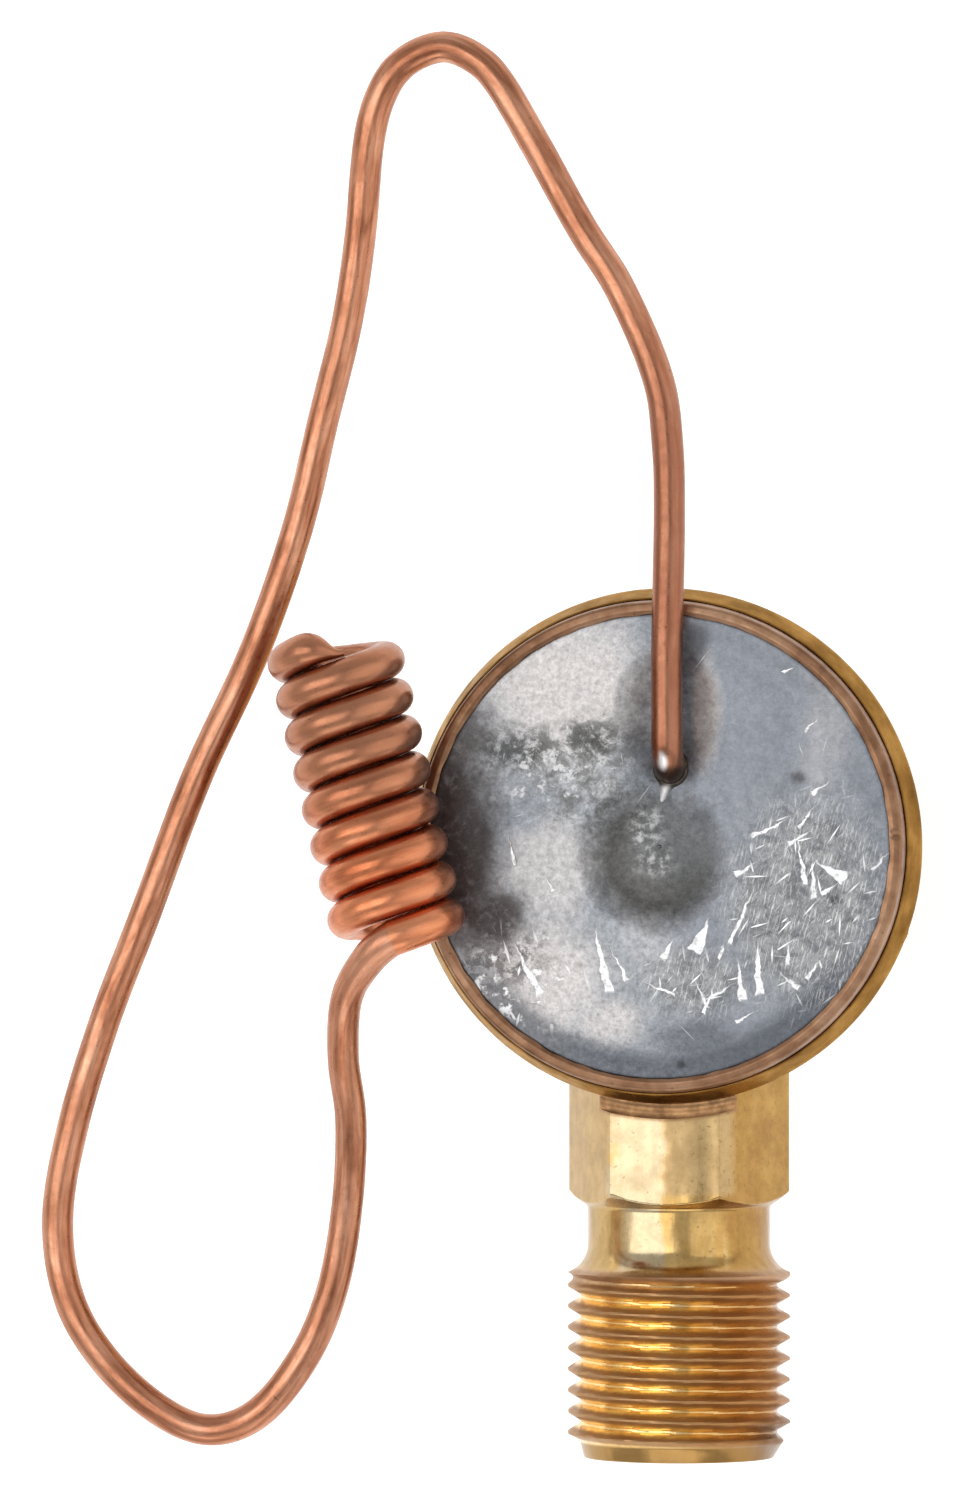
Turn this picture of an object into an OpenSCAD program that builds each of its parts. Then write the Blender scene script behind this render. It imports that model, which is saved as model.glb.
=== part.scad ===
// Angle-type thermostatic expansion valve with a coiled sensing tube, in millimetres.
// The valve's axis is Z, with the power head on top and the outlet at the bottom.
// The inlet arm points along -Y. The origin is the centre of the outlet's end face.

/* [Ports] */
// Height of the inlet's axis above the outlet's end face
inlet_z = 27; // [27:0.1:27.2]
// Distance from the valve's axis to the inlet's end face
inlet_len = 43.7; // [43:0.1:46]
// Crest radius of the inlet thread, M16 x 1.5
inlet_thread_r = 7.95; // [7.8:0.01:8]
// Pitch of both threads
thread_pitch = 1.5; // [1.5:0.1:1.5]
// Number of crests on the inlet thread
inlet_crests = 8; // [6:1:8]
// Radius of the inlet's strainer pocket
pocket_r = 5.2; // [5:0.05:5.4]
// Crest radius of the outlet thread, M20 x 1.5
outlet_thread_r = 9.95; // [9.8:0.01:10]
// Number of crests on the outlet thread
outlet_crests = 6; // [4:1:6]
// Radius of the outlet bore, which holds the spring and the adjusting nut
outlet_bore_r = 7; // [7:0.01:7.1]

/* [Body] */
// Distance across the flats of the inlet arm's hexagon
arm_flats = 14; // [13.8:0.1:14.2]
// Distance from the valve's axis to the hexagon's end
arm_len = 24.6; // [24:0.1:25]
// Radius of the neck between the hexagon and the inlet thread
neck_r = 6.5; // [6.4:0.05:6.6]
// Radius of the round relief cut into the arm under the head
relief_r = 19.3; // [18.8:0.1:20]
// Radius of the upright barrel
barrel_r = 11; // [10.8:0.1:11.5]
// Distance across the flats of the barrel's wrench collar
collar_flats = 24; // [23:0.5:24]

/* [Valve] */
// Radius of the ball
ball_r = 2; // [1.95:0.01:2]
// Radius of the orifice
orifice_r = 1.3; // [1.2:0.05:1.3]
// Distance of each push rod from the valve's axis
rod_x = 4.4; // [4.4:0.05:4.5]
// Radius of each push rod
rod_r = 0.75; // [0.7:0.01:0.75]
// Wire radius of the superheat spring
spring_wire_r = 0.5; // [0.4:0.05:0.5]
// Mean radius of the superheat spring
spring_mean_r = 4.6; // [4.5:0.05:4.7]
// Turns of the superheat spring
spring_turns = 4.5; // [4:0.5:4.5]

/* [Power head] */
// Largest radius of the head
head_r = 18.3; // [18.2:0.05:18.5]
// Radius of the groove between the cup and the closing lip
groove_r = 17.4; // [17.35:0.05:17.5]
// Radius of the cap
cap_r = 16.55; // [16.5:0.01:16.6]
// Radius of the flexing part of the diaphragm
flex_r = 14.8; // [14.6:0.1:15]
// Radius of the round hollow in the cap
hollow_r = 4.7; // [4.5:0.1:4.9]
// Half the width of the cap's long hollow under the capillary
channel_half = 3.3; // [3:0.1:3.5]
// Depth of the cap's hollow
hollow_depth = 0.9; // [0.7:0.05:0.9]

/* [Capillary and coil] */
// Radius of the capillary
tube_r = 1.15; // [1:0.05:1.15]
// Radius of the tube that the sensing coil is wound from
coil_tube_r = 1.28; // [1.2:0.01:1.3]
// Mean radius of the coil
coil_mean_r = 3.5; // [3.3:0.05:3.6]
// Rise of the coil for each turn
coil_pitch = 2.64; // [2.64:0.01:2.8]
// Height of the coil's axis above the inlet's axis
coil_rise = 15.8; // [15.8:0.1:16.5]

/* [Hidden] */
$fn = 96;
tiny = 0.01;
through = 1;

// Thread form: depth and half the width of a ridge at its foot, for a 60 degree thread
thread_depth = 0.613 * thread_pitch;
crest_half = thread_pitch / 16;
foot_half = crest_half + thread_depth * tan(30);

// Heights in the body
body_top = inlet_z + 5;
socket_floor = inlet_z + 2.4;
seat_z = inlet_z - 8.5;
seat_top = seat_z + 4;
seat_r = 3.4;
chamber_r = 3;
passage_r = 2;
passage_z = inlet_z - 1.2;
chamber_top = passage_z + passage_r + 0.2;
hub_r = 8;
hub_bore_r = 5.6;
rod_bore_r = rod_r + 0.05;
seal_r = 1.5;
seal_z = inlet_z + 1.5;
pocket_depth = 16.7;
relief_z = inlet_z + 5.5;
neck_from = 25.8;
neck_to = 28.4;
flare_r = 2.25;
flare_angle = acos(1 - (inlet_thread_r - neck_r) / flare_r);
chamfer_r = arm_flats / sqrt(3) + 0.4;
inlet_first_crest = 30.9;
end_chamfer = 1;
outlet_first_crest = 2;
collar_z = 13;
collar_height = 6;

// Heights in the power head
cup_bottom = inlet_z + 5.9;
cup_floor = inlet_z + 6.6;
cup_widest = inlet_z + 6.5;
ledge_z = inlet_z + 8.3;
cup_top = inlet_z + 9.3;
cap_edge = inlet_z + 10.3;
lip_top = inlet_z + 10.5;
cap_crown = inlet_z + 10.6;
chamber_roof = inlet_z + 9.6;
diaphragm_t = 0.2;
hub_bottom = inlet_z + 2.9;
hollow_floor = cap_crown - hollow_depth - 0.2;
stub_y = 5.5;
stub_x = 0.8;

// Heights in the valve train
seat_cone_r = orifice_r + 0.4;
seat_gap = 0.03;
ball_z = seat_z + seat_cone_r - ball_r * sqrt(2) - seat_gap;
carrier_top = ball_z - 0.93;
carrier_bottom = carrier_top - 2.4;
carrier_r = 5.6;
plate_bottom = inlet_z + 7.55;
nut_bottom = 1.4;
nut_top = 5.2;
spring_seat_top = 6.6;

// The capillary's route above the inlet's axis, from the cap to the start of the coil
ROUTE = [
    [0.8, 13.8, 11.8], [1, 23, 12], [0.9, 28.3, 12.2], [0.2, 33, 12.3], [-2.4, 39.1, 12.3],
    [-5.2, 43.5, 12.1], [-8.4, 49.2, 11.8], [-11, 53.6, 11.6], [-12.8, 55.5, 11.5],
    [-15.2, 56.4, 11.3], [-17.8, 55.5, 11.1], [-19.5, 53.5, 11], [-20.6, 49.9, 10.8],
    [-21.3, 43, 10.5], [-22.3, 37, 10.2], [-24.1, 30, 9.8], [-26, 22.5, 9.4], [-29.1, 13.9, 9.1],
    [-33.4, 4.7, 9], [-37.1, -5, 9], [-39.9, -12.2, 9], [-42.2, -19.6, 9], [-43.4, -26.4, 9],
    [-42.6, -32.2, 9], [-40, -36.6, 9], [-36.1, -40.1, 9], [-32.4, -41.5, 9],
    [-28.8, -40.2, 9.1], [-25.5, -36.2, 9.4], [-23.4, -31.4, 9.9], [-22.2, -25.5, 10.7],
    [-21.7, -19.5, 12], [-21.9, -14.8, 14], [-21.2, -10.6, 16.6], [-19.4, -7.9, 18.5]
];

// The coil's axis runs through this point, along this direction, in plan
COIL_FOOT = [-17.77, -5.21, inlet_z + coil_rise];
coil_lean = 13.3;
coil_axis = [-sin(coil_lean), cos(coil_lean), 0];
coil_side = [cos(coil_lean), sin(coil_lean), 0];
coil_first = 90;
tip_first = 2950;
coil_last = 3000;
coil_zero_rise = -1.82;

// ---- helpers ----

module ring(outer, inner, z0, z1) {
    translate([0, 0, z0]) difference() {
        cylinder(r = outer, h = z1 - z0);
        translate([0, 0, -through]) cylinder(r = inner, h = z1 - z0 + 2 * through);
    }
}

module disc(r, z0, z1) {
    translate([0, 0, z0]) cylinder(r = r, h = z1 - z0);
}

// Moves a shape made along Z so that it lies along the inlet's axis, outwards
module along_inlet(z = inlet_z) {
    translate([0, 0, z]) rotate([90, 0, 0]) children();
}

// Outline points of a thread's ridges, as [radius, distance] along its axis
function ridges(crest_r, first, count) = [
    for (i = [0 : count - 1]) let (at = first + i * thread_pitch, root_r = crest_r - thread_depth)
        for (p = [[root_r, -foot_half], [crest_r, -crest_half], [crest_r, crest_half], [root_r, foot_half]])
            [p[0], at + p[1]]];

// Unit vector
function unit(v) = v / norm(v);

// A point of the smooth curve through p1 and p2, a fraction t of the way between them
function between(p0, p1, p2, p3, t) = 0.5 * (
    2 * p1 + (p2 - p0) * t + (2 * p0 - 5 * p1 + 4 * p2 - p3) * pow(t, 2)
    + (3 * p1 - p0 - 3 * p2 + p3) * pow(t, 3));

// The first frame's sideways direction, and each next one carried along the curve without twist
function carry(side, along) = unit(side - (side * along) * along);
function frames(dirs, side, i = 0) = i == len(dirs) ? []
    : let (s = carry(side, dirs[i])) concat([s], frames(dirs, s, i + 1));

// A closed tube swept along a list of points, with a radius for each point and the directions of its ends
module sweep(points, radii, first_dir, last_dir, sides = 8) {
    last = len(points) - 1;
    dirs = [for (i = [0 : last])
        unit(i == 0 ? first_dir : i == last ? last_dir : points[i + 1] - points[i - 1])];
    across = frames(dirs, abs(dirs[0][2]) > 0.9 ? [1, 0, 0] : [0, 0, 1]);
    vertices = [for (i = [0 : last]) let (u = across[i], v = cross(dirs[i], u))
        for (k = [0 : sides - 1]) let (a = 360 * k / sides)
            points[i] + radii[i] * (cos(a) * u + sin(a) * v)];
    walls = [for (i = [0 : last - 1]) for (k = [0 : sides - 1]) let (n = (k + 1) % sides)
        [i * sides + k, (i + 1) * sides + k, (i + 1) * sides + n, i * sides + n]];
    ends = [[for (k = [0 : sides - 1]) k], [for (k = [sides - 1 : -1 : 0]) last * sides + k]];
    polyhedron(points = vertices, faces = concat(walls, ends), convexity = 10);
}

// ---- body and ports ----

module inlet_arm_solid() {
    root_r = inlet_thread_r - thread_depth;
    flare = [for (i = [0 : 8]) let (a = flare_angle * i / 8) [
        neck_r + flare_r * (1 - cos(a)), neck_to + flare_r * sin(a)]];
    along_inlet() {
        intersection() {
            cylinder(r = arm_flats / sqrt(3), h = neck_from, $fn = 6);
            rotate_extrude()
                polygon([[0, 0], [chamfer_r, 0], [chamfer_r, arm_len], [neck_r, neck_from], [0, neck_from]]);
        }
        rotate_extrude() polygon(concat(
            [[0, neck_from - 2], [neck_r, neck_from - 2]],
            flare,
            [[inlet_thread_r, inlet_first_crest + crest_half], [root_r, inlet_first_crest + foot_half]],
            ridges(inlet_thread_r, inlet_first_crest + thread_pitch, inlet_crests - 1),
            [[root_r, inlet_len - end_chamfer], [root_r - 0.3, inlet_len], [0, inlet_len]]
        ));
    }
}

module upright_solid() {
    root_r = outlet_thread_r - thread_depth;
    collar_r = 13.6;
    bevel = 1;
    rotate_extrude() polygon(concat(
        [[0, 0], [root_r - 0.6, 0], [root_r, 0.9]],
        ridges(outlet_thread_r, outlet_first_crest, outlet_crests),
        [[root_r, 11], [8.6, 11.4], [8.6, collar_z + bevel], [barrel_r, collar_z + bevel],
        [barrel_r, body_top + through], [0, body_top + through]]
    ));
    intersection() {
        translate([0, 0, collar_z]) cylinder(r = collar_flats / sqrt(3), h = collar_height, $fn = 6);
        translate([0, 0, collar_z]) rotate_extrude() polygon([
            [0, 0], [collar_r - bevel, 0], [collar_r, bevel], [collar_r, collar_height - bevel],
            [collar_r - bevel, collar_height], [0, collar_height]
        ]);
    }
}

module valve_body() {
    color([0.80, 0.62, 0.25]) difference() {
        union() {
            upright_solid();
            inlet_arm_solid();
        }
        // Relief in the arm under the head, and a level top round the neck of the head
        disc(relief_r, relief_z, inlet_z + 12);
        disc(barrel_r + 0.2, body_top, inlet_z + 12);
        // Socket for the head, guides for the rods and pockets for their seals
        disc(hub_r + 0.05, socket_floor, inlet_z + 12);
        for (side = [-1, 1]) translate([side * rod_x, 0, 0]) {
            disc(rod_bore_r, seat_z - through, inlet_z + 3);
            disc(seal_r, seal_z, inlet_z + 3);
        }
        // Valve chamber, seat pocket and outlet bore
        disc(chamber_r, seat_top - tiny, chamber_top);
        disc(seat_r, seat_z - through, seat_top);
        disc(outlet_bore_r, -through, seat_z);
        translate([0, 0, -tiny]) cylinder(r1 = outlet_bore_r + 0.5, r2 = outlet_bore_r, h = 0.5);
        // Inlet pocket and passage
        along_inlet() translate([0, 0, inlet_len - pocket_depth])
            cylinder(r = pocket_r, h = pocket_depth + through);
        along_inlet(passage_z) cylinder(r = passage_r, h = inlet_len - pocket_depth + through);
    }
}

module seat_insert() {
    color([0.75, 0.76, 0.78]) difference() {
        disc(seat_r, seat_z, seat_top);
        disc(orifice_r, seat_z - through, seat_top + through);
        translate([0, 0, seat_z - tiny])
            cylinder(r1 = seat_cone_r + tiny, r2 = orifice_r, h = seat_cone_r - orifice_r + tiny);
        translate([0, 0, seat_top - 0.8]) cylinder(r1 = orifice_r, r2 = 2.2, h = 0.8 + tiny);
    }
}

module inlet_strainer() {
    cup_end = inlet_len - 14.2;
    flange = inlet_len - 2.2;
    cup_r = 4.3;
    color([0.72, 0.72, 0.70]) along_inlet() difference() {
        union() {
            disc(cup_r, cup_end, flange + tiny);
            disc(pocket_r - 0.05, flange, flange + 0.6);
        }
        disc(cup_r - 0.4, cup_end + 0.4, inlet_len);
        for (turn = [0, 45, 90, 135]) for (row = [0 : 2]) rotate([0, 0, turn])
            translate([-cup_r - through, -0.45, cup_end + 1.4 + row * 3.6])
                cube([2 * (cup_r + through), 0.9, 2.8]);
        for (turn = [0, 60, 120]) rotate([0, 0, turn])
            translate([-3, -0.35, cup_end - through]) cube([6, 0.7, 2 * through]);
    }
}

module strainer_ring() {
    from = inlet_len - 1.6;
    color([0.70, 0.55, 0.25]) along_inlet() difference() {
        ring(pocket_r - 0.02, 4.1, from, from + 0.8);
        translate([-0.6, 3, from - through]) cube([1.2, 4, 3]);
    }
}

// ---- power head ----

module head_gasket() {
    color([0.72, 0.42, 0.28]) ring(10.2, 8.3, body_top, cup_bottom);
}

module push_rod_seals() {
    color([0.12, 0.12, 0.13]) for (side = [-1, 1])
        translate([side * rod_x, 0, 0]) ring(seal_r, rod_bore_r, seal_z, socket_floor);
}

module seal_washer() {
    color([0.74, 0.74, 0.76]) difference() {
        disc(hub_r - 0.1, socket_floor, hub_bottom);
        for (side = [-1, 1]) translate([side * rod_x, 0, 0])
            disc(rod_bore_r + 0.05, socket_floor - through, hub_bottom + through);
    }
}

module lower_cup() {
    color([0.80, 0.58, 0.28]) {
        ring(hub_r, hub_bore_r, hub_bottom, cup_bottom + 0.2);
        rotate_extrude() polygon([
            [hub_bore_r, cup_bottom], [head_r - 0.7, cup_bottom], [head_r, cup_widest],
            [groove_r, cup_top], [cap_r + 0.02, cup_top], [cap_r + 0.02, ledge_z],
            [flex_r, ledge_z], [flex_r, cup_floor], [hub_bore_r, cup_floor]
        ]);
    }
}

module diaphragm() {
    wave = 0.15;
    wave_from = 8.6;
    half = 0.75;
    under = [for (i = [0 : 8]) [wave_from + i * half, i % 2 == 1 ? wave : 0]];
    color([0.78, 0.79, 0.80]) rotate_extrude() polygon(concat(
        [[0, ledge_z]],
        [for (p = under) [p[0], ledge_z + p[1]]],
        [[cap_r - 0.05, ledge_z], [cap_r - 0.05, ledge_z + diaphragm_t]],
        [for (i = [len(under) - 1 : -1 : 0]) [under[i][0], ledge_z + under[i][1] + diaphragm_t]],
        [[0, ledge_z + diaphragm_t]]
    ));
}

// Plan of the keyhole-shaped hollow, grown all round by a margin
module keyhole(grow, z0, z1) {
    translate([0, -0.5, 0]) disc(hollow_r + grow, z0, z1);
    translate([stub_x, 0, 0]) {
        translate([0, 13.4 - channel_half, 0]) disc(channel_half + grow, z0, z1);
        translate([-channel_half + 0.9 - grow, 0, z0])
            cube([2 * (channel_half - 0.9 + grow), 13.4 - channel_half, z1 - z0]);
        translate([-channel_half - grow, 6.6, z0])
            cube([2 * (channel_half + grow), 6.8 - channel_half, z1 - z0]);
    }
}

module top_cap() {
    skin = 0.6;
    color([0.80, 0.80, 0.79]) difference() {
        union() {
            difference() {
                rotate_extrude() polygon([
                    [0, ledge_z + diaphragm_t], [cap_r, ledge_z + diaphragm_t], [cap_r, cap_edge],
                    [cap_r - 1.5, cap_crown - 0.1], [cap_r - 4, cap_crown], [0, cap_crown]
                ]);
                disc(flex_r, ledge_z, chamber_roof);
            }
            keyhole(skin, hollow_floor - skin, chamber_roof + tiny);
        }
        keyhole(0, hollow_floor, cap_crown + through);
        translate([stub_x, stub_y, 0]) disc(tube_r + 0.03, ledge_z, cap_crown);
    }
}

module crimp_ring() {
    lip_half = (groove_r - cap_r) / 2;
    color([0.62, 0.40, 0.27]) {
        ring(groove_r, cap_r + 0.02, cup_top, lip_top - lip_half);
        translate([0, 0, lip_top - lip_half]) rotate_extrude() intersection() {
            translate([(groove_r + cap_r) / 2, 0]) circle(r = lip_half, $fn = 32);
            translate([cap_r + 0.02, 0]) square([1, 1]);
        }
    }
}

module cap_solder() {
    color([0.82, 0.80, 0.76]) translate([stub_x, stub_y, hollow_floor]) difference() {
        union() {
            cylinder(r1 = 2.2, r2 = 1.7, h = 0.35);
            translate([0, 0, 0.35 - tiny]) cylinder(r1 = 1.7, r2 = 1.35, h = 0.55);
        }
        translate([0, 0, -through]) cylinder(r = tube_r, h = 4);
    }
}

// ---- capillary and coil ----

// A point of the coil at an angle, counted from its left side over the top
function coil_point(angle) =
    COIL_FOOT + coil_axis * (coil_zero_rise + coil_pitch * angle / 360)
    + coil_mean_r * (-cos(angle) * coil_side + [0, 0, sin(angle)]);

// The coil's direction there
function coil_dir(angle) = unit(coil_point(angle + 1) - coil_point(angle - 1));

elbow_r = 2.1;
elbow_z = inlet_z + ROUTE[0][2] - elbow_r;
stub_end = chamber_roof - 0.4;

function elbow_points() = concat(
    [[stub_x, stub_y, stub_end]],
    [for (a = [0 : 15 : 90])
        [stub_x, stub_y + elbow_r * (1 - cos(a)), elbow_z + elbow_r * sin(a)]]);

function route_points() = [for (p = ROUTE) p + [0, 0, inlet_z]];

// Knots of the tube: the end of the elbow, the route, and the coil's start to run into smoothly
function knots() = concat(
    [[stub_x, stub_y + elbow_r, elbow_z + elbow_r]], route_points(), [coil_point(coil_first)]);

function smooth(k, first_dir, last_dir, steps) = let (
        n = len(k), ends = concat([k[0] - first_dir], k, [k[n - 1] + last_dir]))
    concat([for (i = [0 : n - 2]) for (s = [0 : steps - 1])
        between(ends[i], ends[i + 1], ends[i + 2], ends[i + 3], s / steps)], [k[n - 1]]);

module capillary_tube() {
    steps = 3;
    run_in = coil_point(coil_first + 30) - coil_point(coil_first);
    curve = smooth(knots(), [0, 3, 0], run_in, steps);
    points = concat(elbow_points(), [for (i = [1 : len(curve) - 1]) curve[i]]);
    color([0.72, 0.44, 0.31]) sweep(points, [for (p = points) tube_r], [0, 0, 1], coil_dir(coil_first));
}

module sensing_coil() {
    points = [for (a = [coil_first : 20 : tip_first]) coil_point(a)];
    color([0.74, 0.42, 0.29])
        sweep(points, [for (p = points) coil_tube_r], coil_dir(coil_first), coil_dir(tip_first));
}

module coil_tip() {
    count = 6;
    points = [for (i = [0 : count]) coil_point(tip_first + i * (coil_last - tip_first) / count)];
    radii = [for (i = [0 : count]) coil_tube_r * (1 - 0.75 * pow(i / count, 2))];
    color([0.60, 0.40, 0.28]) sweep(points, radii, coil_dir(tip_first), coil_dir(coil_last));
}

// ---- valve train ----

module buffer_plate() {
    color([0.80, 0.64, 0.30]) difference() {
        disc(9, plate_bottom, ledge_z - 0.05);
        for (turn = [30 : 60 : 330]) rotate([0, 0, turn]) translate([6.6, 0, 0])
            disc(0.8, plate_bottom - through, ledge_z + through);
    }
}

module push_rod(side) {
    color([0.68, 0.69, 0.71]) translate([side * rod_x, 0, 0]) {
        translate([0, 0, carrier_top]) cylinder(r1 = rod_r - 0.15, r2 = rod_r, h = 0.3);
        disc(rod_r, carrier_top + 0.3 - tiny, plate_bottom);
    }
}

module push_rod_left() {
    push_rod(-1);
}

module push_rod_right() {
    push_rod(1);
}

module valve_ball() {
    color([0.78, 0.79, 0.81]) translate([0, 0, ball_z]) sphere(r = ball_r);
}

module ball_carrier() {
    vent_r = 0.6;
    color([0.76, 0.60, 0.28]) difference() {
        union() {
            disc(carrier_r, carrier_bottom, carrier_top);
            disc(3.4, carrier_bottom - 1.6, carrier_bottom + tiny);
        }
        translate([0, 0, ball_z]) sphere(r = ball_r + 0.02);
        disc(vent_r, carrier_bottom - 3, carrier_top);
    }
}

module damper_clip() {
    band_low = carrier_bottom + 0.8;
    band_high = carrier_top - 0.3;
    leg_out = outlet_bore_r - 0.08;
    color([0.70, 0.71, 0.73]) {
        ring(carrier_r + 0.25, carrier_r, band_low, band_high);
        for (turn = [90, 210, 330]) rotate([0, 0, turn]) {
            translate([carrier_r + 0.15, -0.8, band_high - 0.25])
                cube([leg_out - carrier_r - 0.35, 1.6, 0.25]);
            intersection() {
                ring(leg_out, leg_out - 0.25, carrier_bottom - 1.4, band_high);
                translate([carrier_r, -0.8, 0]) cube([3, 1.6, 30]);
            }
        }
    }
}

module superheat_spring() {
    low = spring_seat_top + spring_wire_r + 0.03;
    high = carrier_bottom - spring_wire_r - 0.03;
    steps = spring_turns * 20;
    end_turn = 0.75;
    // The end turns lie almost flat and the turns between them share the rest of the rise
    function rise(t) = let (
            e = end_turn / spring_turns, dead = 1.05 * spring_wire_r * 2 * end_turn,
            live = high - low - 2 * dead)
        t < e ? dead * t / e
        : t > 1 - e ? high - low - dead * (1 - t) / e
        : dead + live * (t - e) / (1 - 2 * e);
    points = [for (i = [0 : steps]) let (a = 360 * spring_turns * i / steps)
        [spring_mean_r * cos(a), spring_mean_r * sin(a), low + rise(i / steps)]];
    end_angle = 360 * spring_turns;
    color([0.55, 0.57, 0.60])
        sweep(points, [for (p = points) spring_wire_r], [0, 1, 0], [-sin(end_angle), cos(end_angle), 0]);
}

module spring_seat() {
    color([0.74, 0.74, 0.76]) {
        ring(6, 2.8, nut_top, spring_seat_top);
        ring(3.8, 2.8, spring_seat_top - tiny, spring_seat_top + 0.8);
    }
}

module adjusting_nut() {
    socket_flats = 7;
    color([0.78, 0.62, 0.28]) difference() {
        union() {
            disc(outlet_bore_r - 0.07, nut_bottom + 0.4, nut_top);
            translate([0, 0, nut_bottom])
                cylinder(r1 = outlet_bore_r - 0.47, r2 = outlet_bore_r - 0.07, h = 0.4 + tiny);
        }
        translate([0, 0, nut_bottom - through])
            cylinder(r = socket_flats / sqrt(3), h = 10, $fn = 6);
    }
}

valve_body();
seat_insert();
inlet_strainer();
strainer_ring();
head_gasket();
push_rod_seals();
seal_washer();
lower_cup();
diaphragm();
top_cap();
crimp_ring();
cap_solder();
capillary_tube();
sensing_coil();
coil_tip();
buffer_plate();
push_rod_left();
push_rod_right();
valve_ball();
ball_carrier();
damper_clip();
superheat_spring();
spring_seat();
adjusting_nut();
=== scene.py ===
import math

import bmesh
import bpy
import numpy as np
from mathutils import Matrix, Vector, noise


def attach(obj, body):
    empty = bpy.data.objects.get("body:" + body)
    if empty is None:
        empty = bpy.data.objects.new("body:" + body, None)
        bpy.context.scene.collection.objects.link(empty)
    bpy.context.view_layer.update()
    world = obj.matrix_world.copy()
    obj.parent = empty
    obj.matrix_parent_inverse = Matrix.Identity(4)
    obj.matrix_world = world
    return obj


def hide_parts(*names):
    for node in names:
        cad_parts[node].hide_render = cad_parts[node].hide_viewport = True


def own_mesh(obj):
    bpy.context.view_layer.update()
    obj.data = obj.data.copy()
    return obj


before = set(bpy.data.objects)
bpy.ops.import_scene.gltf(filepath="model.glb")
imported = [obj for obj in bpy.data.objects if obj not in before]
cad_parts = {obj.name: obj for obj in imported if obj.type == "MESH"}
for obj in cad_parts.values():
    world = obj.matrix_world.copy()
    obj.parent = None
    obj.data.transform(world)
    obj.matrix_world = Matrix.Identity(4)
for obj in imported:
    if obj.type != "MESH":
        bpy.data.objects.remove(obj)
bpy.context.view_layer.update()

MM = 0.001
TAU = 2 * math.pi

# ---------------------------------------------------------------- dimensions, in millimetres
INLET_Z = 27.0
INLET_LEN = 43.7
PITCH = 1.5
THREAD_DEPTH = 0.92
INLET_CREST_R = 7.95
THREAD_FROM = 30.4
THREAD_TO = 42.9
OUTLET_CREST_R = 9.95
NECK_R = 6.5
ARM_FLATS = 14.0
COLLAR_FLATS = 24.0
BARREL_R = 11.0
BODY_TOP = INLET_Z + 5
RELIEF_R = 19.3
RELIEF_Z = INLET_Z + 5.5
OUTLET_BORE_R = 7.0
POCKET_R = 5.2
HEAD_R = 18.3
GROOVE_R = 17.4
CAP_R = 16.55
CUP_BOTTOM = INLET_Z + 5.9
CUP_WIDEST = INLET_Z + 6.5
CUP_FLOOR = INLET_Z + 6.6
LEDGE_Z = INLET_Z + 8.3
CUP_TOP = INLET_Z + 9.3
CAP_EDGE = INLET_Z + 10.25
LIP_TOP = INLET_Z + 10.5
CAP_CROWN = INLET_Z + 10.6
FLEX_R = 14.8
HOLLOW_FLOOR = CAP_CROWN - 1.1
STUB = (0.8, 5.5)
TUBE_R = 1.15
ELBOW_R = 2.1
COIL_TUBE_R = 1.28
COIL_MEAN_R = 3.5
COIL_PITCH = 2.64
COIL_FOOT = Vector((-17.77, -5.21, INLET_Z + 15.8))
COIL_LEAN = math.radians(13.3)
COIL_FIRST = 90
COIL_LAST = 2990
COIL_ZERO_RISE = -1.82

# The capillary's route above the inlet's axis, in millimetres, from the cap to the start of the coil
ROUTE = [
    (0.8, 13.8, 11.8), (1, 23, 12), (0.9, 28.3, 12.2), (0.2, 33, 12.3), (-2.4, 39.1, 12.3),
    (-5.2, 43.5, 12.1), (-8.4, 49.2, 11.8), (-11, 53.6, 11.6), (-12.8, 55.5, 11.5),
    (-15.2, 56.4, 11.3), (-17.8, 55.5, 11.1), (-19.5, 53.5, 11), (-20.6, 49.9, 10.8),
    (-21.3, 43, 10.5), (-22.3, 37, 10.2), (-24.1, 30, 9.8), (-26, 22.5, 9.4), (-29.1, 13.9, 9.1),
    (-33.4, 4.7, 9), (-37.1, -5, 9), (-39.9, -12.2, 9), (-42.2, -19.6, 9), (-43.4, -26.4, 9),
    (-42.6, -32.2, 9), (-40, -36.6, 9), (-36.1, -40.1, 9), (-32.4, -41.5, 9),
    (-28.8, -40.2, 9.1), (-25.5, -36.2, 9.4), (-23.4, -31.4, 9.9), (-22.2, -25.5, 10.7),
    (-21.7, -19.5, 12), (-21.9, -14.8, 14), (-21.2, -10.6, 16.6), (-19.4, -7.9, 18.5),
]


# ---------------------------------------------------------------- camera and studio
def add_object(name, data):
    obj = bpy.data.objects.new(name, data)
    bpy.context.scene.collection.objects.link(obj)
    return obj


def make_camera():
    """A long lens nearly straight above the head, leaning nine degrees towards +X."""
    lean = math.radians(9.1)
    distance = 714.0
    # The picture's centre lies this far across and up from the crossing of the valve's two axes
    aim_across, aim_up = -14.1, 6.8
    picture_height = 107.14
    across = Vector((math.cos(lean), 0, -math.sin(lean)))
    up = Vector((0, 1, 0))
    back = Vector((math.sin(lean), 0, math.cos(lean)))
    target = Vector((0, 0, INLET_Z)) + across * aim_across + up * aim_up
    data = bpy.data.cameras.new("camera")
    data.sensor_width = 36.0
    data.lens = 36.0 * distance / picture_height
    data.clip_start, data.clip_end = 0.01, 10
    camera = add_object("camera", data)
    turn = Matrix((across, up, back)).transposed().to_4x4()
    camera.matrix_world = Matrix.Translation((target + back * distance) * MM) @ turn
    bpy.context.scene.camera = camera


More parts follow.
